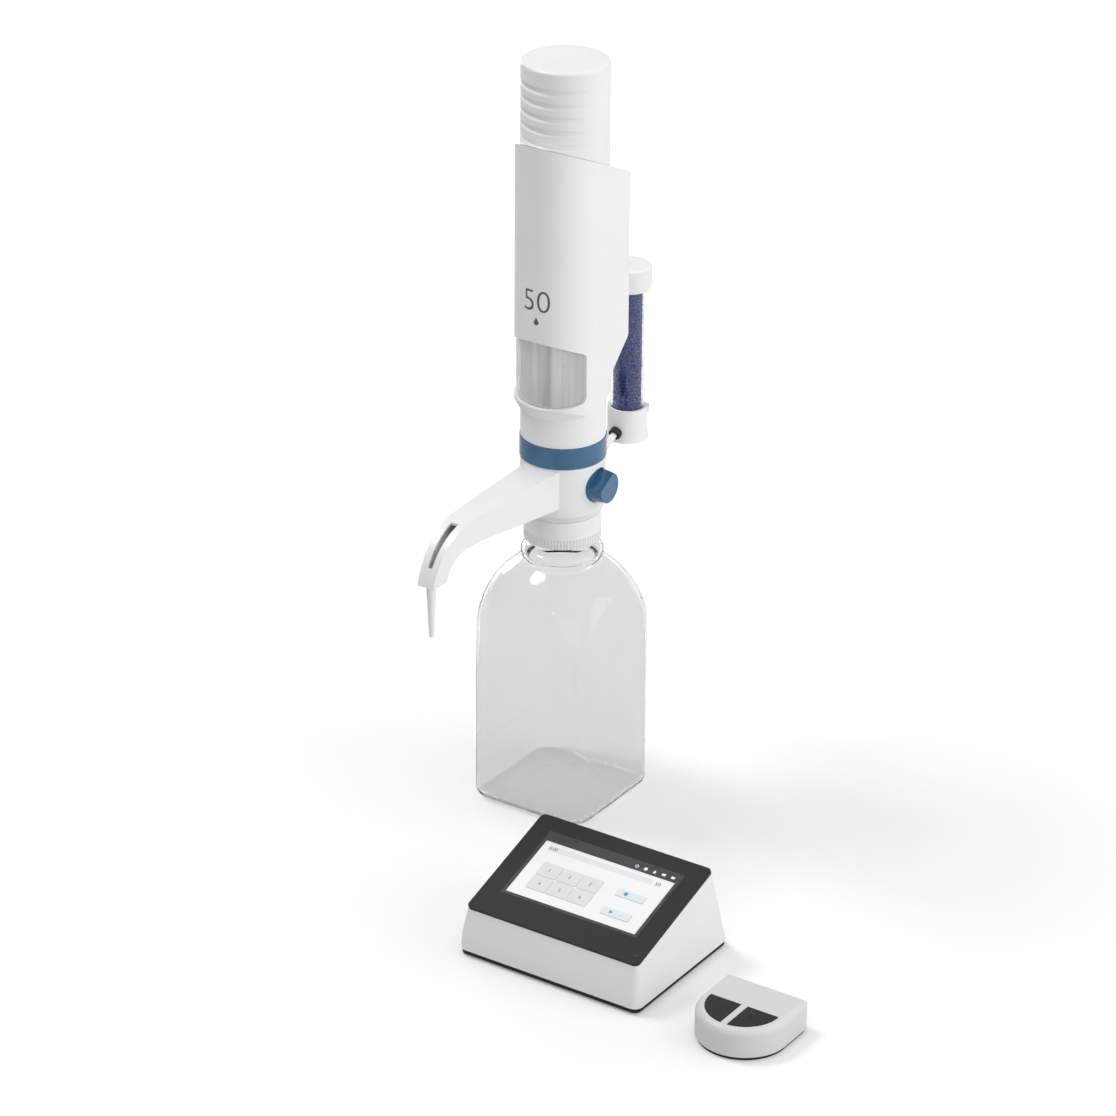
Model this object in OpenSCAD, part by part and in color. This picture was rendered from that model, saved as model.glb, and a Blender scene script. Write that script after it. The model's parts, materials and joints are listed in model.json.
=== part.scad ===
// Digital burette on a square reagent bottle, with its touch console and its hand remote.
// Millimetres, +Z up. The origin is the centre of the bottle's base, on the bench.
// The discharge arm points along -Y, the valve knob along +X and the drying tube stands at +Y.

/* [Bottle] */
// Side of the square bottle
bottle_w = 95.4; // [85:0.1:105]
// Radius of the bottle's four vertical edges
bottle_corner_r = 16; // [10:0.5:22]
// Height of the bottle's mouth
bottle_h = 212; // [200:1:230]
// Wall of the bottle
bottle_wall = 2.4; // [1.6:0.1:3]
// Radius of the edge round the bottle's base
base_edge_r = 7; // [5:0.5:10]
// Radius of the shoulder dome's curve
dome_r = 65; // [60:0.5:70]
// Outer radius of the neck
neck_r = 20.5; // [19.5:0.1:21.3]
// Bore radius of the neck
neck_bore_r = 15.2; // [14:0.1:16.5]
// Radius of the bead under the neck
bead_r = 28.9; // [27.5:0.1:31]
// How far the filling and return tubes reach below the bottle's mouth
tube_reach = 12; // [10:1:190]

/* [Neck collar] */
// Radius of the knurled collar at its lower edge
collar_r = 26.9; // [25.5:0.1:28]
// Height of the collar
collar_h = 20.2; // [18:0.1:23]
// Height of the knurled band
knurl_h = 7.1; // [4:0.1:10]
// Number of ribs round the knurled band
knurl_ribs = 75; // [40:1:90]
// Depth of the knurl
knurl_depth = 0.9; // [0.3:0.1:1]
// Thickness of the neck gasket
gasket_t = 1.5; // [1:0.1:2.5]

/* [Valve block] */
// Radius of the valve block
block_r = 29.4; // [28:0.1:31]
// Height of the valve block
block_h = 41.4; // [38:0.1:48]
// Height of the block's tapered foot
block_taper_h = 5.5; // [3:0.1:7]
// Radius of the valve spindle
spindle_r = 4; // [3:0.1:5]
// Height of the spindle above the block's foot
spindle_up = 24.5; // [21:0.5:27]
// Radius of the liquid passages
passage_r = 1.6; // [1:0.1:2]

/* [Valve knob] */
// Radius of the knob's grip at its face
knob_r = 10.8; // [9:0.1:11]
// Length of the knob from its seat
knob_len = 11.7; // [9:0.1:16]
// Radius of the knob's thin flange
knob_flange_r = 12.1; // [12.1:0.1:14]
// Distance of the pointer flat from the knob's axis
knob_flat = 6.3; // [5:0.1:8]
// Tilt of the pointer flat from level
knob_flat_tilt = 30; // [0:1:60]

/* [Measuring cylinder] */
// Volume of one full stroke, in cubic centimetres
volume_ml = 50; // [40:1:55]
// Bore radius of the glass cylinder
bore_r = 14; // [13.6:0.1:14.6]
// Wall of the glass cylinder
glass_wall = 1.5; // [1:0.1:2]
// Height of the piston
piston_h = 12; // [9:0.5:15]
// Outer radius of the plunger tube
plunger_r = 8; // [7:0.1:9]

/* [Drive] */
// Radius of the lead screw
screw_r = 4; // [3:0.1:4.5]
// Height of the nut carriage
carriage_h = 10; // [8:0.5:14]
// Tooth size (module) of the gear pair
tooth_module = 0.5; // [0.44:0.01:0.52]
// Teeth on the lead screw's gear
gear_teeth = 42; // [38:1:44]
// Teeth on the motor's pinion
pinion_teeth = 14; // [13:1:16]
// Face width of the gears
gear_t = 6; // [4:0.5:7]
// Length of the motor
motor_len = 36; // [28:1:44]

/* [Head housing] */
// Half width of the housing, and radius of its round front
housing_r = 30; // [29.6:0.1:31.5]
// Wall of the housing
housing_wall = 2; // [1.5:0.1:2.4]
// How far the round front is shifted forward of the axis
front_shift = 6.3; // [4:0.1:8]
// Distance of the flat back from the axis
back_y = 37; // [36:0.5:42]
// Radius of the housing's rear corners
rear_corner_r = 4; // [3:0.5:8]
// Height of the slanted lip on the axis, above the ring
lip_up = 27.4; // [24:0.5:32]
// Rise of the lip towards the back, per unit
lip_slope = 0.2; // [0:0.01:0.3]
// Height of the slanted top on the axis, above the ring
top_up = 201.6; // [199:0.5:212]
// Fall of the top towards the back, per unit
top_slope = 0.45; // [0.3:0.01:0.5]
// Height of the rear bulge's lower corner, above the ring
bulge_up = 70.1; // [60:0.5:80]
// Height of the window's top edge on the axis, above the ring
window_top_up = 62; // [56:0.5:68]
// Height of the window's bottom edge on the axis, above the ring
window_low_up = 37.6; // [35:0.5:42]
// Thickness of the clear pane
pane_t = 1.5; // [1:0.1:2.5]

/* [Top cap] */
// Height of the cap's top above the slanted top on the axis
cap_up = 67.5; // [62:0.5:80]
// Wall of the cap
cap_wall = 2.4; // [1.6:0.1:2.6]
// Number of grip grooves
grooves = 5; // [3:1:6]
// Pitch of the grip grooves
groove_pitch = 9.3; // [7:0.1:10]
// Depth of the grip grooves at the front
groove_depth = 1.5; // [0.8:0.1:1.6]

/* [Blue ring] */
// Radius of the coloured ring
ring_r = 30; // [29.6:0.1:31]
// Height of the coloured ring
ring_h = 15.5; // [12:0.1:18]

/* [Discharge arm] */
// Distance of the arm's end from the axis
arm_reach = 164; // [150:1:180]
// Half width of the arm where it leaves the block
arm_root_w = 14.3; // [12:0.1:16]
// Half width of the arm at its end
arm_tip_w = 6.5; // [5.5:0.1:8]
// Radius of the arm's outer bend
bend_r = 48.3; // [44:0.1:52]
// Wall of the arm
arm_wall = 1.8; // [1.2:0.1:2.2]
// Length of the nozzle below the arm
nozzle_len = 39; // [30:0.5:48]
// Radius of the nozzle at its tip
nozzle_tip_r = 1.65; // [1.5:0.05:2]
// Outer radius of the discharge tube
line_r = 1.2; // [1:0.1:1.4]
// Radius of the discharge tube's bend
line_bend_r = 30; // [28:0.5:32]

/* [Drying tube] */
// Distance of the drying tube behind the axis
dryer_y = 81; // [76:0.5:92]
// Outer radius of the drying tube's glass
dryer_r = 12.1; // [10.5:0.1:12.4]
// Wall of the drying tube's glass
dryer_wall = 1.4; // [1:0.1:2]
// Height of the socket above the block's foot
dryer_up = 24.2; // [20:0.5:30]
// Height of the socket
socket_h = 23.8; // [20:0.5:30]
// Length of the glass
dryer_len = 109.6; // [95:0.1:130]
// Radius of the lid
lid_r = 16; // [14.8:0.1:17]
// Height of the lid
lid_h = 17.4; // [14:0.5:22]
// Tilt of the air pipe from level
pipe_tilt = 25; // [15:1:30]
// Outer radius of the air pipe
pipe_r = 2.2; // [1.8:0.1:3]

/* [Console] */
// Distance of the console's centre to the right of the axis
console_x = 142.2; // [135:0.5:170]
// Distance of the console's front edge in front of the axis
console_front = 230; // [225:1:250]
// Width of the console at its foot
console_w = 142; // [130:1:160]
// Depth of the console at its foot
console_d = 113; // [106:1:125]
// Width of the bezel
bezel_w = 135; // [124:1:150]
// Depth of the bezel along its slope
bezel_d = 95.8; // [90:0.5:104]
// Thickness of the bezel
bezel_t = 2; // [1.5:0.1:3]
// Slope of the bezel from level
bezel_tilt = 17.3; // [12:0.1:22]
// Height of the bezel's front edge
bezel_z = 35.5; // [30:0.5:45]
// Width of the display
screen_w = 101.8; // [90:0.1:112]
// Depth of the display along its slope
screen_d = 51.4; // [44:0.1:58]
// Wall of the console's housing
console_wall = 2.5; // [1.8:0.1:3.2]
// Radius of the console's vertical edges
console_corner_r = 6; // [4:0.5:9]
// Thickness of the black foot plate
foot_plate_t = 3.5; // [2.5:0.1:5]
// Thickness of the rubber feet
foot_t = 1; // [0.6:0.1:2]

/* [Remote] */
// Distance of the remote's centre to the right of the axis
remote_x = 281.3; // [275:0.1:320]
// Distance of the remote's round centre in front of the axis
remote_y = 209.7; // [200:0.1:230]
// Radius of the remote's round front
remote_r = 31.5; // [29:0.1:34]
// Length of the remote behind the round centre
remote_back = 31.3; // [27:0.1:38]
// Height of the remote
remote_h = 22; // [20:0.5:26]
// Radius of the two-button half disc
button_r = 25.2; // [22:0.1:25.6]
// Gap between the two buttons
button_gap = 5.2; // [3:0.1:7]
// Travel of the two buttons
button_travel = 1; // [0.6:0.1:1.5]

/* [Fits] */
// Radial clearance of a shaft that turns in a bore
running_fit = 0.05; // [0.02:0.01:0.09]
// Clearance between pieces that move past each other
gap = 0.3; // [0.2:0.05:0.4]

/* [Hidden] */
$fn = 96;

// Colours
white = [0.93, 0.93, 0.94];
blue = [0.16, 0.42, 0.62];
dark = [0.16, 0.17, 0.18];
steel = [0.72, 0.73, 0.75];
board_green = [0.1, 0.4, 0.25];
clear = [0.8, 0.85, 0.88, 0.35];

// Heights up the head, each one from the piece that it stands on
gasket_z = bottle_h;
flange_z = gasket_z + gasket_t;
flange_h = 3;
flange_r = neck_r + 1;
hub_r = 17.5;
hub_h = 7.5;
collar_roof_t = 2.9;
block_z = flange_z + flange_h + gap + collar_roof_t + gap;
collar_top_z = block_z - gap;
collar_z = collar_top_z - collar_h;
thread_r = neck_r + 1.5;
ring_z = block_z + block_h;
sleeve_z = ring_z + ring_h;
spindle_z = block_z + spindle_up;

// Measuring cylinder and plunger
stroke = volume_ml * 1000 / (PI * pow(bore_r, 2));
spigot_r = housing_r - 3;
spigot_wall = 1.8;
plate_r = spigot_r - spigot_wall - 2 * gap;
disc_r = block_r - 3.2;
disc_t = 3.6;
disc_top_z = ring_z + disc_t;
seat_t = 1;
glass_z = disc_top_z + seat_t;
glass_len = stroke + piston_h + 2.8;
glass_r = bore_r + glass_wall;
glass_socket_t = 2.4;
glass_socket_h = 5;
piston_z = disc_top_z + 0.4;
piston_top_z = piston_z + piston_h;
clamp_h = 8;
clamp_z = glass_z + glass_len - clamp_h / 2;
carriage_z = clamp_z + clamp_h + 2;
screw_low_z = piston_top_z + stroke + 1.4;
shoulder_z = carriage_z + carriage_h + stroke + 0.8;
shoulder_h = 2.7;
gear_plate_z = shoulder_z + shoulder_h + gap;
gear_plate_t = 4;
rail_w = 5;
rail_d = 8;
rail_x = plate_r - rail_w / 2 - 1.1;
gear_gap = 0.4;
gear_z = gear_plate_z + gear_plate_t + gear_gap;
journal_r = screw_r - 1;
bearing_r = 2 * screw_r;
center_distance = tooth_module * (gear_teeth + pinion_teeth) / 2;
motor_plate_z = gear_z + gear_t + 4 * gear_gap;
motor_plate_t = 3;
motor_z = motor_plate_z + motor_plate_t;
motor_r = plate_r - center_distance - 0.1;
motor_shaft_r = 1;
motor_shaft_len = 12;
post_r = 2.2;
post_circle_r = plate_r - 4.1;
cell_r = 7.2;
cell_len = 45;
cell_x = cell_r + 3.8;
cell_y = 15.6 - plate_r;
cradle_wall = 1.2;
cradle_h = 12;
cradle_web = 6;
cradle_t = 3;

// Housing
lip_z = sleeve_z + lip_up;
top_z = sleeve_z + top_up;
bulge_z = sleeve_z + bulge_up;
bulge_slope = 1.04;
back_shift = 3.5;
window_top_z = sleeve_z + window_top_up;
window_low_z = sleeve_z + window_low_up;
window_top_slope = 0.47;
window_side_y = -15;
cap_top_z = top_z + cap_up;
spigot_drop = 16;
sleeve_bore_r = disc_r + 0.6;
board_z = bulge_z + 5;
board_h = 92;
board_w = 44;
board_t = 1.6;
chip_w = 14;
chip_h = 12;
boss_len = 2.2;
boss_r = 3;
board_y = back_y - housing_wall - boss_len - board_t;
board_screw_x = 17;
board_screw_r = 1.3;
far = 400;

// Arm
arm_top_z = ring_z - 1.6;
arm_drop = 35.3;
arm_end_z = arm_top_z - arm_drop;
arm_under_root_z = block_z + 11.5;
arm_under_end_z = arm_top_z - 18.8;
bend_y = -arm_reach + sqrt(pow(bend_r, 2) - pow(bend_r - arm_drop, 2));
inner_bend_r = 24;
inner_bend_y = -arm_reach + 37;
nozzle_y = -arm_reach + 6.8;
line_z = arm_top_z - 9;

// Drying tube
dryer_z = block_z + dryer_up;
socket_floor = 14;
dryer_glass_z = dryer_z + socket_floor;
filter_t = 3;
lid_z = dryer_glass_z + dryer_len - lid_h + 6;
socket_wall = 1.7;
socket_r = dryer_r + socket_wall;
port_z = dryer_z + 7.6;

// Console, laid out in the bezel's own sloping frame
console_y = -console_front + console_d / 2;
console_foot_z = foot_t + foot_plate_t;
band_h = 11;
bezel_y = -console_front + 4.5;
bezel_corner_r = 4;
screen_front = 23.3;
panel_t = 5;
rear_lean = 15.8;
button_cap_r = 5;
power_travel = 1;
power_up = 26;

// Remote
remote_base_t = 2.6;
remote_wall = 2.2;
remote_edge_r = 5;
remote_board_z = 11;
key_t = 3;
key_flange = 1;
key_lip = 0.7;

// Points along an arc from angle a0 to a1
function arc(cx, cy, r, a0, a1, n = 12) =
    [for (i = [0:n]) let (a = a0 + (a1 - a0) * i / n) [cx + r * cos(a), cy + r * sin(a)]];

// Outline of a ribbed ring: ribs with sloping sides
function ribs(r, depth, n) = [
    for (i = [0:n - 1], k = [0:3])
        let (a = 360 / n * (i + [0, 0.4, 0.55, 0.85][k]), q = k < 2 ? r : r - depth)
            [q * cos(a), q * sin(a)]
];

// Half the angle that a gear tooth spans at radius r, for n teeth
pressure_angle = 20;
backlash = 0.08;
function involute(a) = tan(a) * 180 / PI - a;
function tooth_half(r, n, m) =
    let (rp = m * n / 2, rb = rp * cos(pressure_angle))
        90 / n - backlash / 2 / rp * 180 / PI
        + involute(pressure_angle) - involute(acos(min(1, rb / max(r, rb))));

// Outline of a spur gear with short involute teeth
function gear_points(n, m) =
    let (rp = m * n / 2, rb = rp * cos(pressure_angle), root = rp - 1.1 * m, tip = rp + 0.8 * m,
         low = max(rb, root),
         foot = rb > root ? [root] : [],
         flank = concat(foot, [for (i = [0:4]) low + (tip - low) * i / 4]),
         last = len(flank) - 1)
        [for (t = [0:n - 1], side = [-1, 1], i = [0:last])
            let (r = side < 0 ? flank[i] : flank[last - i],
                 a = 360 / n * t + side * tooth_half(r, n, m))
                [r * cos(a), r * sin(a)]];

module at_z(z) {
    translate([0, 0, z]) children();
}

module tube(r, inner_r, h) {
    difference() {
        cylinder(r = r, h = h);
        translate([0, 0, -1]) cylinder(r = inner_r, h = h + 2);
    }
}

// Extrudes an outline drawn in (y, z) along X, centred on the X origin
module across(w) {
    rotate([90, 0, 90]) linear_extrude(w, center = true) children();
}

module rounded_square(w, d, r) {
    square([w - 2 * r, d], center = true);
    square([w, d - 2 * r], center = true);
    for (x = [-1, 1], y = [-1, 1])
        translate([x * (w / 2 - r), y * (d / 2 - r)]) circle(r = r);
}

// ---- Bottle ----

corner_reach = (bottle_w / 2 - bottle_corner_r) * sqrt(2) + bottle_corner_r;
dome_axis_r = corner_reach - dome_r;
dome_z = bottle_h - 87;
root_r = bead_r - 1.9;
bead_edge_r = 5;
bead_z = bottle_h - 23.4;
floor_t = 3;

// Outline with rounded lower corners, drawn in (y, z)
module base_outline(w, z, r) {
    translate([-w / 2 + r, z]) square([w - 2 * r, far]);
    translate([-w / 2, z + r]) square([w, far]);
    for (y = [-1, 1]) translate([y * (w / 2 - r), z + r]) circle(r = r);
}

// Square prism with rounded vertical edges and a rounded edge round its base
module square_body(inset, z) {
    w = bottle_w - 2 * inset;
    intersection() {
        at_z(z) linear_extrude(far) rounded_square(w, w, bottle_corner_r - inset);
        across(far) base_outline(w, z, base_edge_r - inset);
        rotate([0, 0, 90]) across(far) base_outline(w, z, base_edge_r - inset);
    }
}

// Outer profile of the bottle: dome, bead, neck and thread ridges
function bottle_profile() = concat(
    [[0, 0], [corner_reach, 0]],
    arc(dome_axis_r, dome_z, dome_r, 0, acos((root_r - dome_axis_r) / dome_r), 16),
    arc(bead_r - bead_edge_r, bead_z, bead_edge_r, -55, 70, 10),
    [[neck_r, bead_z + 7], [neck_r, bottle_h - 12.5], [thread_r, bottle_h - 11.5],
     [thread_r, bottle_h - 10.5], [neck_r, bottle_h - 9.5], [neck_r, bottle_h - 7.5],
     [thread_r, bottle_h - 6.5], [thread_r, bottle_h - 5.5], [neck_r, bottle_h - 4.5],
     [neck_r, bottle_h - 1], [neck_r - 1, bottle_h], [0, bottle_h]]);

// Inner profile: the hollow below the dome and the bore of the neck
function hollow_profile() = let (r = dome_r - bottle_wall, top_r = root_r - 3.5) concat(
    [[0, floor_t], [corner_reach, floor_t]],
    arc(dome_axis_r, dome_z, r, 0, acos((top_r - dome_axis_r) / r), 16),
    [[neck_bore_r, bead_z + 4.5], [neck_bore_r, bottle_h + 1], [0, bottle_h + 1]]);

module bottle() {
    color(clear) difference() {
        intersection() {
            square_body(0, 0);
            rotate_extrude() polygon(bottle_profile());
        }
        intersection() {
            square_body(bottle_wall, floor_t);
            rotate_extrude() polygon(hollow_profile());
        }
    }
}

// ---- Neck ----

collar_taper = 0.6;
fill_r = 3;
fill_wall = 1;
return_r = 1.5;
return_wall = 0.6;
return_x = 9;
air_y = 12;
air_r = 1.6;
spigot_len = 8.5;

module neck_collar() {
    color(white) difference() {
        union() {
            at_z(collar_z) linear_extrude(knurl_h) polygon(ribs(collar_r, knurl_depth, knurl_ribs));
            at_z(collar_z + knurl_h)
                cylinder(r1 = collar_r - 0.1, r2 = collar_r - collar_taper, h = collar_h - knurl_h);
        }
        at_z(collar_z - 1) cylinder(r = thread_r + 0.4, h = collar_h - collar_roof_t + 1);
        at_z(collar_z) cylinder(r = hub_r + gap, h = collar_h + 1);
    }
}

module neck_adapter() {
    color(white) difference() {
        union() {
            at_z(flange_z - spigot_len) cylinder(r = neck_bore_r - gap, h = spigot_len);
            at_z(flange_z) cylinder(r = flange_r, h = flange_h);
            at_z(flange_z + flange_h) cylinder(r = hub_r, h = hub_h);
        }
        at_z(flange_z - spigot_len - 1) cylinder(r = fill_r, h = far);
        at_z(flange_z - spigot_len - 1) translate([return_x, 0, 0]) cylinder(r = return_r, h = far);
        at_z(flange_z - spigot_len - 1) translate([0, air_y, 0]) cylinder(r = air_r, h = far);
    }
}

module neck_gasket() {
    color(dark) at_z(gasket_z) tube(neck_r - 1, neck_bore_r, gasket_t);
}

hub_top_z = flange_z + flange_h + hub_h;

module filling_tube() {
    color(clear) at_z(bottle_h - tube_reach)
        tube(fill_r, fill_r - fill_wall, hub_top_z - bottle_h + tube_reach);
}

module return_tube() {
    color(clear) translate([return_x, 0, bottle_h - tube_reach])
        tube(return_r, return_r - return_wall, hub_top_z - bottle_h + tube_reach);
}

// ---- Valve block ----

inlet_r = 5;
inlet_h = 13;
inlet_ball_r = 2;
inlet_seat_r = 1.5;
inlet_seat_t = 2;
outlet_r = 4;
outlet_h = 12;
outlet_ball_r = 1.7;
outlet_y = -16;
spindle_back = 13;
knob_seat_x = block_r - 2.8;
pipe_depth = 8;
pipe_run = (dryer_y - socket_r - block_r) / cos(pipe_tilt);
air_run = (block_r - air_y) / cos(pipe_tilt);
air_z = port_z - (pipe_run + air_run) * sin(pipe_tilt);
pipe_seal_r = 2 * pipe_r;
seal_seat = 1;

// Frame whose +Z runs up the tilted air pipe, with its origin on the dryer's socket
module pipe_frame() {
    translate([0, dryer_y - socket_r, port_z]) rotate([pipe_tilt - 90, 0, 0]) children();
}

// Frame whose +Z runs out of the block along the discharge line
module outlet_frame() {
    translate([0, outlet_y, line_z]) rotate([90, 0, 0]) children();
}

module valve_block() {
    color(white) difference() {
        union() {
            at_z(block_z) cylinder(r1 = block_r - 3.1, r2 = block_r, h = block_taper_h);
            at_z(block_z + block_taper_h) cylinder(r = block_r, h = block_h - block_taper_h);
        }
        at_z(block_z - 1) cylinder(r = hub_r, h = hub_top_z - block_z + 1);
        at_z(block_z) cylinder(r = inlet_r, h = hub_top_z - block_z + inlet_h);
        at_z(block_z) cylinder(r = passage_r, h = block_h + 1);
        translate([return_x, 0, block_z]) cylinder(r = return_r - 0.6, h = spindle_up);
        translate([-spindle_back - gap, 0, spindle_z]) rotate([0, 90, 0])
            cylinder(r = spindle_r + running_fit, h = 3 * block_r);
        translate([knob_seat_x, 0, spindle_z]) rotate([0, 90, 0])
            cylinder(r = knob_flange_r + gap, h = block_r);
        outlet_frame() cylinder(r = outlet_r, h = block_r);
        outlet_frame() at_z(outlet_y) cylinder(r = passage_r, h = -outlet_y + 1);
        pipe_frame() {
            at_z(-pipe_run - pipe_depth) cylinder(r = pipe_r, h = pipe_run);
            at_z(-pipe_run - air_run) cylinder(r = air_r, h = air_run);
            at_z(-pipe_run - seal_seat) cylinder(r = pipe_seal_r, h = pipe_run);
        }
        translate([0, air_y, block_z]) cylinder(r = air_r, h = air_z - block_z);
    }
}

// Cartridge of a ball valve: a seat, a cage and an outlet
module ball_cartridge(r, h, seat_r, cage_r, out_r) {
    difference() {
        cylinder(r = r, h = h);
        at_z(-1) cylinder(r = seat_r, h = h);
        at_z(inlet_seat_t) cylinder(r = cage_r, h = h - inlet_seat_t - 3);
        at_z(inlet_seat_t) cylinder(r = out_r, h = h);
    }
}

module inlet_valve() {
    color(steel) at_z(hub_top_z)
        ball_cartridge(inlet_r, inlet_h, inlet_seat_r, inlet_ball_r + 0.6, passage_r);
}

module discharge_valve() {
    color(steel) outlet_frame()
        ball_cartridge(outlet_r, outlet_h, line_r, outlet_ball_r + 0.5, line_r);
}

// A ball that rests on the rim of its seat
module seated_ball(r, seat_r) {
    at_z(inlet_seat_t + sqrt(pow(r, 2) - pow(seat_r, 2))) sphere(r = r);
}

module valve_balls() {
    color(steel) {
        at_z(hub_top_z) seated_ball(inlet_ball_r, inlet_seat_r);
        outlet_frame() seated_ball(outlet_ball_r, line_r);
    }
}

module valve_spindle() {
    color(steel) difference() {
        translate([-spindle_back, 0, spindle_z]) rotate([0, 90, 0])
            cylinder(r = spindle_r, h = spindle_back + knob_seat_x + gap + knob_len * 0.6);
        at_z(spindle_z - block_r / 2) cylinder(r = passage_r, h = block_r);
    }
}

module valve_knob() {
    flange_t = 0.6;
    grip_taper = 1.2;
    color(blue) translate([knob_seat_x + gap, 0, spindle_z]) rotate([0, 90, 0]) difference() {
        union() {
            cylinder(r = knob_flange_r, h = flange_t);
            difference() {
                cylinder(r1 = knob_r + grip_taper, r2 = knob_r, h = knob_len);
                rotate([0, 0, knob_flat_tilt])
                    translate([-knob_flat - block_r, -block_r, flange_t])
                        cube([block_r, 2 * block_r, knob_len]);
            }
        }
        at_z(-1) cylinder(r = spindle_r, h = knob_len * 0.6 + 1);
    }
}

// ---- Ring, sleeve and measuring cylinder ----

module blue_ring() {
    color(blue) at_z(ring_z) tube(ring_r, disc_r, ring_h);
}

// Everything below a slanted line z = level + slope * y, drawn in (y, z)
module below_line(level, slope) {
    y = 3 * housing_r;
    polygon([[-y, 0], [y, 0], [y, level + slope * y], [-y, level - slope * y]]);
}

module lower_sleeve() {
    color(white) intersection() {
        at_z(sleeve_z) tube(block_r, sleeve_bore_r, 2 * lip_up);
        across(far) below_line(lip_z, lip_slope);
    }
}

screw_hole_r = 1.25;
screw_hole_depth = 9;

module chassis() {
    color(white) difference() {
        union() {
            at_z(ring_z) cylinder(r = disc_r, h = disc_t);
            at_z(disc_top_z) tube(glass_r + glass_socket_t, glass_r, glass_socket_h);
            for (x = [-1, 1]) translate([x * rail_x - rail_w / 2, -rail_d / 2, ring_z])
                cube([rail_w, rail_d, gear_plate_z - ring_z]);
        }
        at_z(ring_z - 1) cylinder(r = passage_r, h = disc_t + 2);
        for (x = [-1, 1]) translate([x * rail_x, 0, gear_plate_z - screw_hole_depth])
            cylinder(r = screw_hole_r, h = screw_hole_depth + 1);
    }
}

module cylinder_gasket() {
    color(dark) at_z(disc_top_z) tube(glass_r, bore_r, seat_t);
}

module glass_cylinder() {
    color(clear) at_z(glass_z) tube(glass_r, bore_r, glass_len);
}

// Cuts the two rail slots, wider than the rails by the clearance c on each side
module rail_slots(c) {
    for (x = [-1, 1]) translate([x * rail_x - rail_w / 2 - c, -rail_d / 2 - c, -1])
        cube([rail_w + 2 * c, rail_d + 2 * c, far]);
}

module cylinder_clamp() {
    color(dark) at_z(clamp_z) difference() {
        cylinder(r = plate_r + 0.6, h = clamp_h);
        at_z(-1) cylinder(r = glass_r, h = clamp_h / 2 + 1);
        cylinder(r = plunger_r + 2 * gap, h = clamp_h + 1);
        rail_slots(0);
    }
}

seal_h = 2;
seal_depth = 1.6;

// Rings in the piston's two seal grooves, out to radius r
module piston_rings(r) {
    for (z = [2, piston_h - 2 - seal_h]) at_z(piston_z + z) tube(r, bore_r - seal_depth, seal_h);
}

module piston() {
    color(steel) difference() {
        at_z(piston_z) cylinder(r = bore_r - 0.4, h = piston_h);
        piston_rings(2 * bore_r);
    }
}

module piston_seals() {
    color(dark) piston_rings(bore_r - running_fit);
}

module plunger_tube() {
    color(steel) at_z(piston_top_z) tube(plunger_r, plunger_r - 1.8, carriage_z - piston_top_z);
}

carriage_reach = rail_x + rail_w / 2 + gap + 1.4;
carriage_d = rail_d + 6;

module nut_carriage() {
    color(dark) at_z(carriage_z) difference() {
        union() {
            cylinder(r = plunger_r + 2, h = carriage_h);
            translate([-carriage_reach, -carriage_d / 2, 0])
                cube([2 * carriage_reach, carriage_d, carriage_h]);
        }
        at_z(-1) cylinder(r = screw_r + running_fit, h = carriage_h + 2);
        rail_slots(gap);
    }
}

// ---- Drive ----

module lead_screw() {
    color(steel) {
        at_z(screw_low_z)
            cylinder(r = screw_r, h = gear_plate_z + gear_plate_t - screw_low_z);
        at_z(gear_plate_z + gear_plate_t) cylinder(r = journal_r, h = gear_t + 2 * gear_gap);
        at_z(shoulder_z) cylinder(r = 1.6 * screw_r, h = shoulder_h);
    }
}

module screw_gear() {
    color(steel) at_z(gear_z) difference() {
        linear_extrude(gear_t) rotate(90) polygon(gear_points(gear_teeth, tooth_module));
        at_z(-1) cylinder(r = journal_r, h = gear_t + 2);
    }
}

module screw_bearing() {
    color(steel) at_z(gear_plate_z) tube(bearing_r, screw_r + running_fit, gear_plate_t);
}

module gear_plate() {
    color(steel) at_z(gear_plate_z) difference() {
        cylinder(r = plate_r, h = gear_plate_t);
        at_z(-1) cylinder(r = bearing_r, h = gear_plate_t + 2);
        for (x = [-1, 1]) translate([x * rail_x, 0, -1])
            cylinder(r = screw_hole_r, h = gear_plate_t + 2);
    }
}

module plate_screws() {
    color(steel) for (x = [-1, 1]) translate([x * rail_x, 0, gear_plate_z - screw_hole_depth]) {
        cylinder(r = screw_hole_r, h = screw_hole_depth + gear_plate_t);
        at_z(screw_hole_depth + gear_plate_t) cylinder(r = 2 * screw_hole_r, h = 2);
    }
}

motor_boss_r = 3.5;

module motor_plate() {
    color(steel) difference() {
        union() {
            at_z(motor_plate_z) cylinder(r = plate_r, h = motor_plate_t);
            for (a = [-90, 30, 150]) rotate(a)
                translate([post_circle_r, 0, gear_plate_z + gear_plate_t])
                    cylinder(r = post_r, h = motor_plate_z - gear_plate_z - gear_plate_t + 1);
        }
        translate([0, center_distance, motor_plate_z - 1])
            cylinder(r = motor_boss_r, h = motor_plate_t + 2);
    }
}

module motor() {
    color(steel) translate([0, center_distance, motor_z]) difference() {
        union() {
            cylinder(r = motor_r, h = motor_len);
            at_z(-motor_plate_t) cylinder(r = motor_boss_r, h = motor_plate_t);
        }
        at_z(-motor_plate_t - 1)
            cylinder(r = motor_shaft_r + running_fit, h = motor_plate_t + motor_shaft_len + 2);
    }
}

module motor_pinion() {
    color(steel) translate([0, center_distance, gear_z]) {
        linear_extrude(gear_t) rotate(-90 + 180 / pinion_teeth)
            polygon(gear_points(pinion_teeth, tooth_module));
        cylinder(r = motor_shaft_r, h = motor_z - gear_z + motor_shaft_len);
    }
}

module at_cells() {
    for (x = [-cell_x, cell_x]) translate([x, cell_y, motor_z]) children();
}

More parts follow.
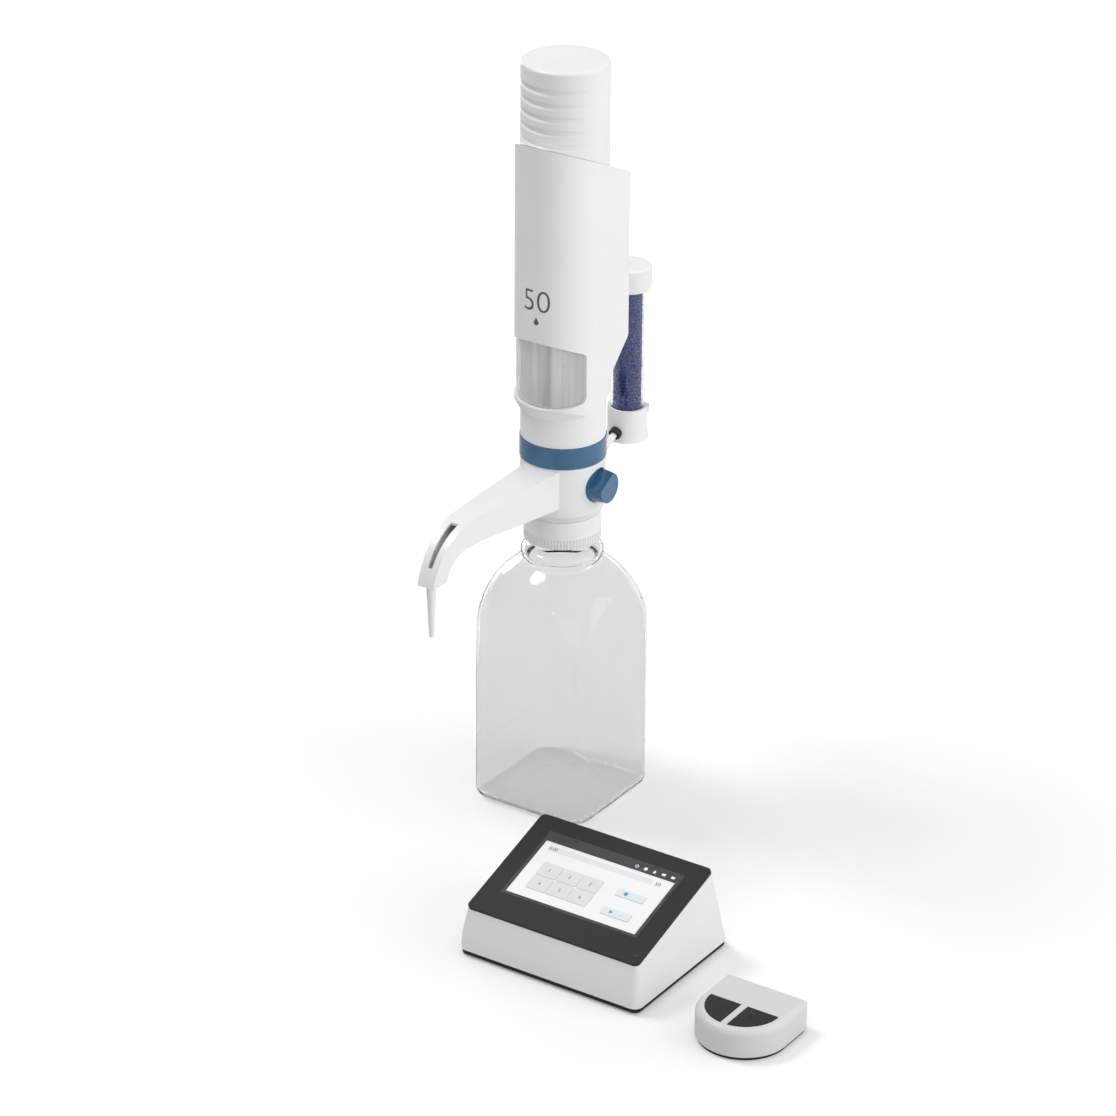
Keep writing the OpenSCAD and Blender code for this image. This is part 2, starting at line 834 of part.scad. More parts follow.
module battery_cradle() {
    color(dark) difference() {
        union() {
            at_cells() cylinder(r = cell_r + cradle_wall, h = cradle_h);
            translate([-cell_x, cell_y - cradle_web / 2, motor_z])
                cube([2 * cell_x, cradle_web, cradle_h]);
        }
        at_cells() at_z(cradle_t) cylinder(r = cell_r, h = far);
    }
}

module battery_cells() {
    color(steel) at_cells() at_z(cradle_t) {
        cylinder(r = cell_r, h = cell_len);
        cylinder(r = cell_r / 3, h = cell_len + 1.2);
    }
}

// ---- Head housing ----

// Places children at the four screws of the head's circuit board, +Z pointing backwards
module at_board_screws() {
    for (x = [-1, 1], z = [8, board_h - 8])
        translate([x * board_screw_x, board_y, board_z + z]) rotate([-90, 0, 0]) children();
}

module head_board() {
    color(board_green) difference() {
        translate([-board_w / 2, board_y, board_z]) cube([board_w, board_t, board_h]);
        at_board_screws() at_z(-1) cylinder(r = board_screw_r, h = board_t + 2);
    }
    color(dark) for (share = [0.25, 0.5, 0.72])
        translate([-chip_w / 2, board_y - board_t, board_z + share * board_h])
            cube([chip_w, board_t, chip_h]);
}

module board_screws() {
    color(steel) at_board_screws() {
        at_z(-board_t) cylinder(r = 2 * board_screw_r, h = board_t);
        cylinder(r = board_screw_r, h = board_t + boss_len);
    }
}

// Plan of the housing's waist: round at the front and at the back
module waist_plan(inset) {
    w = housing_r - inset;
    translate([0, -front_shift]) circle(r = w);
    translate([0, back_shift]) circle(r = w);
    translate([-w, -front_shift]) square([2 * w, front_shift + back_shift]);
}

// Plan of the housing above the waist: a round front and a square back
module bulge_plan(inset) {
    w = housing_r - inset;
    r = rear_corner_r - inset;
    back = back_y - inset;
    translate([0, -front_shift]) circle(r = w);
    translate([-w, -front_shift]) square([2 * w, front_shift + back - r]);
    translate([-w + r, 0]) square([2 * (w - r), back]);
    for (x = [-1, 1]) translate([x * (w - r), back - r]) circle(r = r);
}

// The housing's outer form, or its hollow when inset by the wall
module head_form(inset) {
    cone_r = housing_r + 0.6 - 1.133 * inset;
    cone_z = lip_z - 6.1;
    cone_slope = 0.533;
    cone_low = 30;
    cone_high = 60;
    lip_rise = inset * sqrt(1 + pow(lip_slope, 2));
    top_drop = inset * sqrt(1 + pow(top_slope, 2));
    bulge_rise = inset * sqrt(1 + pow(bulge_slope, 2));
    intersection() {
        union() {
            at_z(sleeve_z) linear_extrude(far) waist_plan(inset);
            difference() {
                at_z(sleeve_z) linear_extrude(far) bulge_plan(inset);
                across(far) below_line(bulge_z - bulge_slope * back_y + bulge_rise, bulge_slope);
            }
        }
        difference() {
            across(far) below_line(top_z - top_drop, -top_slope);
            across(far) below_line(lip_z + lip_rise, lip_slope);
        }
        rotate_extrude() polygon([
            [0, cone_z - cone_low], [cone_r - cone_low * cone_slope, cone_z - cone_low],
            [cone_r + cone_high * cone_slope, cone_z + cone_high],
            [cone_r + cone_high * cone_slope, cap_top_z],
            [0, cap_top_z]
        ]);
    }
}

// Outline of the window in (y, z), grown by e past its edges
module window_outline(e) {
    low_r = 5;
    top_r = 3;
    side = window_side_y + e;
    low_n = sqrt(1 + pow(lip_slope, 2));
    top_n = sqrt(1 + pow(window_top_slope, 2));
    low = [side - low_r, window_low_z - e + lip_slope * (side - low_r) + low_r * low_n];
    top = [side - top_r, window_top_z + e - window_top_slope * (side - top_r) - top_r * top_n];
    front = -3 * housing_r;
    translate(low) circle(r = low_r);
    translate(top) circle(r = top_r);
    polygon([
        [front, window_low_z - e + lip_slope * front],
        low + low_r / low_n * [lip_slope, -1], [side, low[1]], [side, top[1]],
        top + top_r / top_n * [window_top_slope, 1],
        [front, window_top_z + e - window_top_slope * front]
    ]);
}

module head_housing() {
    color(white) difference() {
        union() {
            difference() {
                head_form(0);
                head_form(housing_wall);
            }
            at_board_screws() at_z(board_t) cylinder(r = boss_r, h = boss_len + housing_wall / 2);
        }
        at_z(sleeve_z) cylinder(r = sleeve_bore_r, h = 1.5 * lip_up);
        at_z(top_z - 1.25 * spigot_drop) cylinder(r = spigot_r, h = far);
        across(far) window_outline(0);
        at_board_screws() cylinder(r = board_screw_r, h = board_t + boss_len);
    }
}

module window_pane() {
    color(clear) intersection() {
        difference() {
            head_form(housing_wall);
            head_form(housing_wall + pane_t);
        }
        across(far) window_outline(1);
    }
}

// ---- Top cap ----

cap_edge_r = 2;
groove_first = 14;

// Cutter for one grip groove, which fades out at the sides
module groove() {
    shift = 3.25;
    reach = 4;
    floor_r = housing_r + shift - groove_depth;
    translate([0, shift, 0]) rotate_extrude() polygon([
        [floor_r, -0.3 * reach], [floor_r + reach, -1.25 * reach],
        [floor_r + 2 * reach, -1.25 * reach], [floor_r + 2 * reach, 0.9 * reach],
        [floor_r + reach, 0.9 * reach], [floor_r, 0.3 * reach]
    ]);
}

module top_cap() {
    wide_z = top_z + top_slope * housing_r + 2;
    color(white) difference() {
        union() {
            difference() {
                rotate_extrude() polygon(concat(
                    [[0, top_z - housing_r], [housing_r, top_z - housing_r]],
                    arc(housing_r - cap_edge_r, cap_top_z - cap_edge_r, cap_edge_r, 0, 90, 6),
                    [[0, cap_top_z]]));
                across(far) below_line(top_z, -top_slope);
            }
            at_z(top_z - spigot_drop) cylinder(r = spigot_r, h = spigot_drop + housing_r);
        }
        at_z(top_z - spigot_drop - 1)
            cylinder(r = spigot_r - spigot_wall, h = wide_z - top_z + spigot_drop + 2);
        at_z(wide_z) cylinder(r = housing_r - cap_wall, h = cap_top_z - cap_wall - wide_z);
        for (i = [0:grooves - 1]) at_z(cap_top_z - groove_first - i * groove_pitch) groove();
    }
}

// ---- Discharge arm ----

arm_root_y = -25;
under_bend_y = -arm_reach + 53;
slot_top_y = bend_y - 12;
slot_low_z = arm_end_z + 11.5;
slot_top_half_w = 3;
slot_low_half_w = 1.5;
nozzle_root_r = 3.4;
nozzle_neck_r = 2.8;
nozzle_mouth = 1;
line_bore_r = line_r - 0.5;

// Side outline of the arm in (y, z), inset by e
module arm_side(e) {
    end_z = arm_end_z + e;
    outer_z = arm_top_z - bend_r;
    inner_z = arm_under_end_z - inner_bend_r;
    rise = (arm_under_end_z - arm_under_root_z) / (arm_root_y - under_bend_y);
    polygon(concat(
        [[0, arm_top_z - e]],
        arc(bend_y, outer_z, bend_r - e, 90, 180 - asin((end_z - outer_z) / (bend_r - e)), 20),
        arc(inner_bend_y, inner_z, inner_bend_r + e,
            180 - asin((end_z - inner_z) / (inner_bend_r + e)), 90, 12),
        [[under_bend_y, arm_under_end_z + e],
         [0, arm_under_root_z + rise * arm_root_y + e]]));
}

// Plan of the arm, inset by e
module arm_plan(e) {
    taper = (arm_root_w - arm_tip_w) / (arm_reach + arm_root_y);
    root = arm_root_w - taper * arm_root_y - e;
    tip = arm_tip_w - taper - e;
    polygon([[-root, 0], [root, 0], [tip, -arm_reach - 1], [-tip, -arm_reach - 1]]);
}

module arm_form(e) {
    intersection() {
        across(far) arm_side(e);
        linear_extrude(far) arm_plan(e);
    }
}

module discharge_arm() {
    color(white) difference() {
        arm_form(0);
        arm_form(arm_wall);
        at_z(block_z) cylinder(r = block_r, h = block_h);
        at_z(slot_low_z) linear_extrude(far) polygon([
            [-slot_top_half_w, slot_top_y], [slot_top_half_w, slot_top_y],
            [slot_low_half_w, -arm_reach], [-slot_low_half_w, -arm_reach]
        ]);
        translate([0, nozzle_y, arm_end_z - 1]) cylinder(r = nozzle_neck_r, h = arm_wall + 2);
    }
}

module discharge_tube() {
    start_y = outlet_y - outlet_h;
    low_z = arm_end_z - nozzle_len;
    turn_y = nozzle_y + line_bend_r;
    turn_z = line_z - line_bend_r;
    color(clear) {
        translate([0, start_y, line_z]) rotate([90, 0, 0]) tube(line_r, line_bore_r, start_y - turn_y);
        translate([0, turn_y, turn_z]) rotate([90, 0, -90]) rotate_extrude(angle = 90)
            translate([line_bend_r, 0]) difference() {
                circle(r = line_r);
                circle(r = line_bore_r);
            }
        translate([0, nozzle_y, low_z]) tube(line_r, line_bore_r, turn_z - low_z);
    }
}

// Its bore widens upward from where the discharge tube starts to bend
module nozzle() {
    top = arm_wall + 1;
    mouth_h = top + arm_end_z - line_z + line_bend_r;
    color(white) translate([0, nozzle_y, arm_end_z]) difference() {
        union() {
            at_z(-nozzle_len) cylinder(r1 = nozzle_tip_r, r2 = nozzle_root_r, h = nozzle_len);
            cylinder(r = nozzle_neck_r, h = top);
        }
        at_z(-nozzle_len - 1) cylinder(r = line_r, h = nozzle_len + top + 2);
        at_z(top - mouth_h) cylinder(r1 = line_r, r2 = line_r + nozzle_mouth, h = mouth_h);
    }
}

// ---- Drying tube ----

plenum_r = dryer_r - dryer_wall - 0.8;
fill_fit = 0.1;
socket_foot_h = 5.3;
socket_flare = 1.3;
pipe_end = 5;
seal_len = 4;
pipe_wall = 0.9;
lug_w = 4;
lug_h = 5;
lug_reach = 1.6;
lid_roof_t = 6;
lid_chamfer = 1;
vent_r = 1;
lug_angle = 34;

module at_dryer(z) {
    translate([0, dryer_y, z]) children();
}

module air_pipe() {
    color(white) pipe_frame() at_z(-pipe_run - pipe_depth)
        tube(pipe_r, pipe_r - pipe_wall, pipe_run + pipe_depth + pipe_end);
}

module air_pipe_seals() {
    color(dark) pipe_frame() for (z = [-pipe_run - seal_seat, seal_seat - seal_len])
        at_z(z) tube(pipe_seal_r, pipe_r, seal_len);
}

module dryer_socket() {
    color(white) difference() {
        union() {
            at_dryer(dryer_z) cylinder(r = socket_r, h = socket_h);
            at_dryer(dryer_z)
                cylinder(r1 = socket_r + socket_flare, r2 = socket_r + 0.2, h = socket_foot_h);
            at_dryer(dryer_z + socket_h - lug_h) rotate(lug_angle)
                translate([socket_r - 1, -lug_w / 2, 0]) cube([lug_reach + 1, lug_w, lug_h]);
        }
        at_dryer(dryer_glass_z) cylinder(r = dryer_r, h = socket_h);
        at_dryer(dryer_z + socket_floor - 8) cylinder(r = plenum_r, h = socket_h);
        pipe_frame() at_z(-1) cylinder(r = pipe_r, h = pipe_end + 1);
        pipe_frame() at_z(seal_seat - 2 * seal_len) cylinder(r = pipe_seal_r, h = 2 * seal_len);
    }
}

module dryer_glass() {
    color(clear) at_dryer(dryer_glass_z) tube(dryer_r, dryer_r - dryer_wall, dryer_len);
}

fill_r_max = dryer_r - dryer_wall - fill_fit;

module dryer_granules() {
    color(blue) at_dryer(dryer_glass_z + filter_t)
        cylinder(r = fill_r_max, h = dryer_len - 2 * filter_t);
}

module dryer_filters() {
    color(white) for (z = [dryer_glass_z, dryer_glass_z + dryer_len - filter_t])
        at_dryer(z) cylinder(r = fill_r_max, h = filter_t);
}

module dryer_lid() {
    c = lid_chamfer;
    color(white) difference() {
        at_dryer(lid_z) rotate_extrude() polygon([
            [0, 0], [lid_r - c, 0], [lid_r, c], [lid_r, lid_h - c], [lid_r - c, lid_h], [0, lid_h]
        ]);
        at_dryer(lid_z - 1) cylinder(r = dryer_r, h = lid_h - lid_roof_t + 1);
        at_dryer(lid_z) cylinder(r = vent_r, h = lid_h + 1);
    }
}

// ---- Console ----

rim_overlap = 2;
standoff_x = 56;
standoff_y = 10;
panel_recess = 0.3;
panel_fit = 0.1;
band_inset = 0.5;
standoff_r = 2.5;
console_board_z = -bezel_t - panel_t - board_t;

// Frame of the bezel's upper face: +Y runs up the slope and +Z out of it
module bezel_frame() {
    translate([console_x, bezel_y, bezel_z]) rotate([bezel_tilt, 0, 0]) children();
}

module thin(w, d, r) {
    linear_extrude(0.01) rounded_square(w, d, r, $fn = 32);
}

// The console's outer form, or its hollow when inset by e, from low_z up to rim_z in the bezel frame
module console_form(e, low_z, rim_z) {
    band_d = console_d - band_inset - band_h * tan(rear_lean);
    front = -console_front + band_inset;
    hull() {
        translate([console_x, console_y, low_z])
            thin(console_w - 2 * e, console_d - 2 * e, console_corner_r - e);
        translate([console_x, front + band_d / 2, console_foot_z + band_h])
            thin(console_w - 2 * band_inset - 2 * e, band_d - 2 * e, console_corner_r - e);
        bezel_frame() translate([0, bezel_d / 2, rim_z])
            thin(bezel_w - 2 * e, bezel_d - 2 * e, bezel_corner_r - e / 2);
    }
}

// Frame on the leaning rear wall: +Z points outward, at x from the middle and up the wall's height
module rear_frame(x, up) {
    translate([console_x + x, console_d - console_front - up * tan(rear_lean), console_foot_z + up])
        rotate([rear_lean - 90, 0, 0]) children();
}

socket_x = -30;
jack_r = 4.5;
jack_flange_r = 6;
jack_len = 9;
jack_mouth_r = 2.9;
jack_mouth_len = 7;
power_x = 30;
power_rim = 1.2;

module console_housing() {
    color(white) difference() {
        console_form(0, console_foot_z, -bezel_t - 0.01);
        console_form(console_wall, console_foot_z - 1, -bezel_t + 1);
        rear_frame(socket_x, power_up) at_z(-jack_len) cylinder(r = jack_r, h = 2 * jack_len);
        rear_frame(power_x, power_up) at_z(-jack_len)
            cylinder(r = button_cap_r + gap, h = 2 * jack_len);
    }
}

module at_standoffs() {
    for (x = [-1, 1], y = [standoff_y, bezel_d - standoff_y])
        translate([x * standoff_x, y, -bezel_t - panel_t]) children();
}

module console_bezel() {
    color(dark) bezel_frame() {
        difference() {
            translate([0, bezel_d / 2, -bezel_t])
                linear_extrude(bezel_t) rounded_square(bezel_w, bezel_d, bezel_corner_r);
            translate([-screen_w / 2, screen_front, -bezel_t - 1]) cube([screen_w, screen_d, bezel_t + 2]);
        }
        at_standoffs() cylinder(r = standoff_r, h = panel_t);
    }
}

module display_panel() {
    color(white) bezel_frame() {
        translate([-screen_w / 2 + panel_fit, screen_front + panel_fit, -bezel_t - 1])
            cube([screen_w - 2 * panel_fit, screen_d - 2 * panel_fit, bezel_t + 1 - panel_recess]);
        translate([-screen_w / 2 - rim_overlap, screen_front - rim_overlap, -bezel_t - panel_t])
            cube([screen_w + 2 * rim_overlap, screen_d + 2 * rim_overlap, panel_t]);
    }
}

module console_board() {
    color(board_green) bezel_frame() translate([-standoff_x - 3, standoff_y - 3, console_board_z])
        cube([2 * standoff_x + 6, bezel_d - 2 * standoff_y + 6, board_t]);
}

foot_inset = 0.8;
foot_r = 6;
foot_margin = 15;

module console_foot_plate() {
    color(dark) translate([console_x, console_y, foot_t]) linear_extrude(foot_plate_t)
        rounded_square(console_w - 2 * foot_inset, console_d - 2 * foot_inset,
            console_corner_r - foot_inset);
}

module console_feet() {
    color(dark) for (x = [-1, 1], y = [-1, 1])
        translate([console_x + x * (console_w / 2 - foot_margin),
                   console_y + y * (console_d / 2 - foot_margin), 0])
            cylinder(r = foot_r, h = foot_t);
}

module power_socket() {
    color(dark) rear_frame(socket_x, power_up) {
        difference() {
            union() {
                at_z(-jack_len) cylinder(r = jack_r, h = jack_len);
                cylinder(r = jack_flange_r, h = 1);
            }
            at_z(-jack_mouth_len) cylinder(r = jack_mouth_r, h = jack_mouth_len + 2);
        }
        at_z(-jack_mouth_len) cylinder(r = 1, h = jack_mouth_len);
    }
}

module power_button() {
    color(dark) rear_frame(power_x, power_up) {
        at_z(-console_wall - 1) cylinder(r = button_cap_r, h = console_wall + 1 + power_travel + 1);
        at_z(-console_wall - gap - power_rim)
            cylinder(r = button_cap_r + power_rim, h = power_rim);
    }
}

// ---- Remote ----

button_edge = 0.5;
key_proud = 0.4;
remote_rear_r = 7;
base_inset = 1.2;

// Plan of the remote: a round front and a square back, inset by e
module remote_plan(e) {
    w = remote_r - e;
    r = remote_rear_r - e / 2;
    circle(r = w);
    translate([-w, 0]) square([2 * w, remote_back - e - r]);
    translate([-w + r, 0]) square([2 * (w - r), remote_back - e]);
    for (x = [-1, 1]) translate([x * (w - r), remote_back - e - r]) circle(r = r);
}

// The remote's outer form above low_z, or its hollow when inset by e
module remote_form(e, low_z) {
    w = remote_r - e;
    h = remote_h - e;
    r = remote_edge_r - e;
    intersection() {
        union() {
            rotate_extrude()
                polygon(concat([[0, low_z], [w, low_z]], arc(w - r, h - r, r, 0, 90), [[0, h]]));
            intersection() {
                rotate([90, 0, 180]) linear_extrude(remote_back) remote_edges(w, h, low_z, r);
                across(far) remote_rear(remote_back - e, h, low_z, r);
            }
        }
        at_z(low_z) linear_extrude(far) remote_plan(e);
    }
}

// Cross-section with two rounded upper corners
module remote_edges(w, h, low_z, r) {
    polygon(concat([[-w, low_z], [w, low_z]], arc(w - r, h - r, r, 0, 90),
        arc(r - w, h - r, r, 90, 180)));
}

// Lengthwise section with a rounded upper corner at the back
module remote_rear(back, h, low_z, r) {
    polygon(concat([[0, low_z], [back, low_z]], arc(back - r, h - r, r, 0, 90), [[0, h]]));
}

module at_remote() {
    translate([remote_x, -remote_y, 0]) children();
}

// Plan of one key, right or left, grown by e
module key_plan(side, e) {
    mirror([side < 0 ? 1 : 0, 0]) intersection() {
        circle(r = button_r + e);
        translate([button_gap / 2 - e, -far]) square([far, far + button_edge + e]);
    }
}

module remote_shell() {
    color(white) at_remote() difference() {
        remote_form(0, remote_base_t);
        remote_form(remote_wall, remote_base_t - 1);
        for (side = [-1, 1]) linear_extrude(far) key_plan(side, gap);
    }
}

pillar_r = 2.5;
pillar_x = 18;
pillar_y = 18;
skirt_t = 2;
switch_r = 3;
switch_y = -11;

// Places children at the three pillars that carry the remote's board
module at_pillars() {
    for (p = [[-pillar_x, pillar_y], [pillar_x, pillar_y], [0, -pillar_y - 4]])
        translate(p) children();
}

module remote_base() {
    color(dark) at_remote() {
        linear_extrude(remote_base_t) remote_plan(base_inset);
        linear_extrude(remote_base_t + skirt_t) difference() {
            remote_plan(remote_wall + gap);
            remote_plan(remote_wall + gap + skirt_t);
        }
        at_pillars() cylinder(r = pillar_r, h = remote_board_z);
    }
}

key_low_z = remote_h - remote_wall - running_fit - key_flange;

module remote_board() {
    color(board_green) at_remote() {
        at_z(remote_board_z) linear_extrude(board_t) remote_plan(remote_wall + 2);
        for (x = [-1, 1]) translate([x * button_r / 2, switch_y, remote_board_z + board_t])
            cylinder(r = switch_r, h = key_low_z - button_travel - running_fit - remote_board_z - board_t);
    }
}

module key(side) {
    color(dark) at_remote() {
        at_z(remote_h + key_proud - key_t) linear_extrude(key_t) key_plan(side, 0);
        at_z(key_low_z) linear_extrude(key_flange) key_plan(side, key_lip);
    }
}

module left_button() {
    key(-1);
}

bump_x = 8.5;
bump_y = -8;
bump_r = 4;
bump_h = 1;

module right_button() {
    key(1);
    dome_r = (pow(bump_r, 2) + pow(bump_h, 2)) / (2 * bump_h);
    color(dark) at_remote() intersection() {
        translate([bump_x, bump_y, remote_h + key_proud + bump_h - dome_r]) sphere(r = dome_r);
        translate([bump_x, bump_y, remote_h]) cylinder(r = 2 * bump_r, h = bump_r);
    }
}

bottle();
neck_collar();
neck_adapter();
neck_gasket();
valve_block();
inlet_valve();
discharge_valve();
valve_balls();
filling_tube();
return_tube();
valve_spindle();
valve_knob();
blue_ring();
lower_sleeve();
chassis();
cylinder_gasket();
glass_cylinder();
cylinder_clamp();
piston();
piston_seals();
plunger_tube();
nut_carriage();
lead_screw();
screw_gear();
screw_bearing();
gear_plate();
motor_plate();
motor();
motor_pinion();
plate_screws();
battery_cradle();
battery_cells();
head_board();
board_screws();
head_housing();
window_pane();
top_cap();
discharge_arm();
discharge_tube();
nozzle();
air_pipe();
air_pipe_seals();
dryer_socket();
dryer_glass();
dryer_granules();
dryer_filters();
dryer_lid();
console_housing();
console_bezel();
display_panel();
console_board();
console_foot_plate();
console_feet();
power_socket();
power_button();
remote_shell();
remote_base();
remote_board();
left_button();
right_button();
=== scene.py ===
import json
import math
import random

import bmesh
import bpy
from mathutils import Matrix, Vector


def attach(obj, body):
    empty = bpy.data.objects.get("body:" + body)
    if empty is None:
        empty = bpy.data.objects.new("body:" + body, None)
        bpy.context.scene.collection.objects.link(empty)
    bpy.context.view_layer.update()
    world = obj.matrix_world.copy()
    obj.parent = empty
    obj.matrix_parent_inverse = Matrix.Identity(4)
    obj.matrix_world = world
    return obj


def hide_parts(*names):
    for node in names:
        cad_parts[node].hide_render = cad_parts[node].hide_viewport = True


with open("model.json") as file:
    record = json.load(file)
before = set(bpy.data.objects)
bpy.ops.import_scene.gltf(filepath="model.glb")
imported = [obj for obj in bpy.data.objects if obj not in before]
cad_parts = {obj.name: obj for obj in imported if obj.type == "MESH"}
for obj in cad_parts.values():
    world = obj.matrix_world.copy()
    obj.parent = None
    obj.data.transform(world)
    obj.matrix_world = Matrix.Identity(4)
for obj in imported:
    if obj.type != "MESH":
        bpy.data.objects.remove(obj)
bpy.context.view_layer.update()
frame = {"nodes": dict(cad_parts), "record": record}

MM = 0.001
SLOTS = {part["node"]: part["material_slot"] for part in frame["record"]["subparts"]}
BODIES = {node: body for body, nodes in frame["record"]["behaviour"]["bodies"].items() for node in nodes}


# ---- Shader nodes ----

def add_node(tree, kind, inputs, **settings):
    """A node with its settings, and for each input a value or the socket that feeds it."""
    node = tree.nodes.new(kind)
    for key, value in settings.items():
        setattr(node, key, value)
    for key, value in inputs.items():
        if isinstance(value, bpy.types.NodeSocket):
            tree.links.new(value, node.inputs[key])
        else:
            node.inputs[key].default_value = value
    return node


def combined(tree, operation, first, second):
    return add_node(tree, "ShaderNodeMath", {0: first, 1: second}, operation=operation).outputs[0]


def span(tree, value, source, target):
    """Maps the range source onto the range target, and holds the value at its ends."""
    inputs = {"Value": value, "From Min": source[0], "From Max": source[1], "To Min": target[0],
              "To Max": target[1]}
    return add_node(tree, "ShaderNodeMapRange", inputs).outputs["Result"]


# ---- Materials ----

NOISE_RANGE = (0.3, 0.7)
GLASS_SHADE = (0.94, 0.95, 0.96, 1)
BASE_INSIDE, BASE_OUTSIDE, BASE_SHARE = 0.042, 0.047, 0.95


class Look:
    """A material in the making: one Principled shader and the nodes that drive it."""

    def __init__(self, name, colour, **values):
        self.mat = bpy.data.materials.new(name)
        self.mat.use_nodes = True
        self.tree = self.mat.node_tree
        self.shader = self.tree.nodes["Principled BSDF"]
        self.place = self.tree.nodes.new("ShaderNodeTexCoord").outputs["Object"]
        self.shader.inputs["Base Color"].default_value = (*colour, 1)
        for key, value in values.items():
            self.shader.inputs[key.replace("_", " ")].default_value = value

    def add(self, kind, inputs, **settings):
        return add_node(self.tree, kind, inputs, **settings)

    def noise(self, size, detail=2.0, stretch=None):
        """Noise whose features are about size metres across, longer where stretch is below 1."""
        place = self.place
        if stretch:
            place = self.add("ShaderNodeMapping", {"Vector": place, "Scale": stretch}).outputs["Vector"]
        inputs = {"Vector": place, "Scale": 1 / size, "Detail": detail}
        return self.add("ShaderNodeTexNoise", inputs).outputs["Fac"]

    def ranged(self, noise, low, high):
        return span(self.tree, noise, NOISE_RANGE, (low, high))

    def colours(self, fac, first, second):
        node = self.add("ShaderNodeMix", {"Factor": fac}, data_type="RGBA")
        node.inputs[6].default_value = (*first, 1)
        node.inputs[7].default_value = (*second, 1)
        self.tree.links.new(node.outputs[2], self.shader.inputs["Base Color"])

    def drive(self, socket, value):
        self.tree.links.new(value, self.shader.inputs[socket])

    def relief(self, heights):
        """Adds bumps: (height socket, depth in metres), the broadest first."""
        normal = None
        for height, depth in heights:
            inputs = {"Height": height, "Distance": depth, "Strength": 1.0}
            if normal is not None:
                inputs["Normal"] = normal
            normal = self.add("ShaderNodeBump", inputs).outputs["Normal"]
        self.drive("Normal", normal)

    def surface(self, shader):
        self.tree.links.new(shader, self.tree.nodes["Material Output"].inputs["Surface"])

    def lets_lamps_through(self, share, foot):
        """Lamps and bounced light pass a clear wall, so that what stands behind it isn't in its shade.
        Where foot is given, the share of the sides falls to nothing over the lowest foot metres, for the
        dark line on the bench, and most of the light passes the middle of the base."""
        tree = self.tree
        rays = self.add("ShaderNodeLightPath", {}).outputs
        if foot:
            size = self.add("ShaderNodeVectorMath", {0: self.place}, operation="ABSOLUTE").outputs[0]
            along = self.add("ShaderNodeSeparateXYZ", {"Vector": size}).outputs
            side = span(tree, along["Z"], (foot * 0.3, foot), (0, share))
            reach = combined(tree, "MAXIMUM", along["X"], along["Y"])
            base = span(tree, reach, (BASE_OUTSIDE, BASE_INSIDE), (0, BASE_SHARE))
            base = combined(tree, "MULTIPLY", base, combined(tree, "LESS_THAN", along["Z"], foot))
            share = combined(tree, "MAXIMUM", side, base)
        light = combined(tree, "MAXIMUM", rays["Is Shadow Ray"], rays["Is Diffuse Ray"])
        clear = self.add("ShaderNodeBsdfTransparent", {"Color": GLASS_SHADE}).outputs[0]
        inputs = {0: combined(tree, "MULTIPLY", light, share), 1: self.shader.outputs[0], 2: clear}
        self.surface(self.add("ShaderNodeMixShader", inputs).outputs[0])


def scaled(colour, share):
    return tuple(c * share for c in colour)


def moulded(name, colour, rough, grain, depth, shift=0.03, **values):
    """Moulded plastic: a slow drift of tone, patches of polish, flow waves and a fine spark-eroded grain."""
    look = Look(name, colour, **values)
    look.colours(look.ranged(look.noise(0.045, 3), 0, 1), colour, scaled(colour, 1 - shift))
    look.drive("Roughness", look.ranged(look.noise(0.012, 4), rough - 0.04, rough + 0.05))
    look.relief([(look.noise(0.03, 1), 12 * depth), (look.noise(grain, 3), depth)])
    return look.mat


def glassy(name, tint, ior, rough, wave, through, foot=0.0, **values):
    """Clear wall: faint smears in its polish and a slow waviness from blowing or drawing."""
    look = Look(name, tint, Transmission_Weight=1.0, IOR=ior, **values)
    look.colours(look.ranged(look.noise(0.05, 2), 0, 1), tint, scaled(tint, 0.985))
    look.drive("Roughness", look.ranged(look.noise(0.02, 5), rough, rough + 0.03))
    look.relief([(look.noise(0.035, 1), wave)])
    look.lets_lamps_through(through, foot)
    return look.mat


def haze_and_painted_light(name, tint, least, most, through):
    """Clear plastic whose milky white veil varies in upright streaks: partly the pane's own haze, partly
    painted light that lifts the shaded inside seen through it.
    """
    look = Look(name, tint, IOR=1.49)
    streaks = look.noise(0.006, 3, (1, 1, 0.04))
    look.colours(look.ranged(look.noise(0.03, 2), 0, 1), tint, scaled(tint, 0.98))
    # The white veil where transmission falls short is partly haze and partly painted light on the shaded
    # inside behind the pane.
    look.drive("Transmission Weight", look.ranged(streaks, least, most))
    look.drive("Roughness", look.ranged(look.noise(0.01, 3), 0.03, 0.1))
    look.relief([(streaks, 0.00001)])
    look.lets_lamps_through(through, 0)
    return look.mat


def metal(name, colour, rough, bare=1.0):
    """Machined metal: fine upright tool marks and a slight bloom. It is duller where bare is under 1."""
    look = Look(name, colour, Metallic=bare)
    look.colours(look.ranged(look.noise(0.008, 3), 0, 1), colour, scaled(colour, 0.9))
    marks = look.noise(0.0006, 2, (1, 1, 0.05))
    look.drive("Roughness", look.ranged(marks, rough - 0.06, rough + 0.08))
    look.relief([(marks, 0.000004)])
    return look.mat


def circuit_board(name, mask, track):
    """Solder mask with the copper's tracks showing through as lighter lines."""
    look = Look(name, mask, Coat_Weight=0.4)
    bricks = look.add("ShaderNodeTexBrick", {"Vector": look.place, "Scale": 160.0, "Mortar Size": 0.06})
    look.colours(bricks.outputs["Fac"], mask, track)
    look.drive("Roughness", look.ranged(look.noise(0.004, 3), 0.3, 0.45))
    look.relief([(bricks.outputs["Fac"], 0.00003)])
    return look.mat


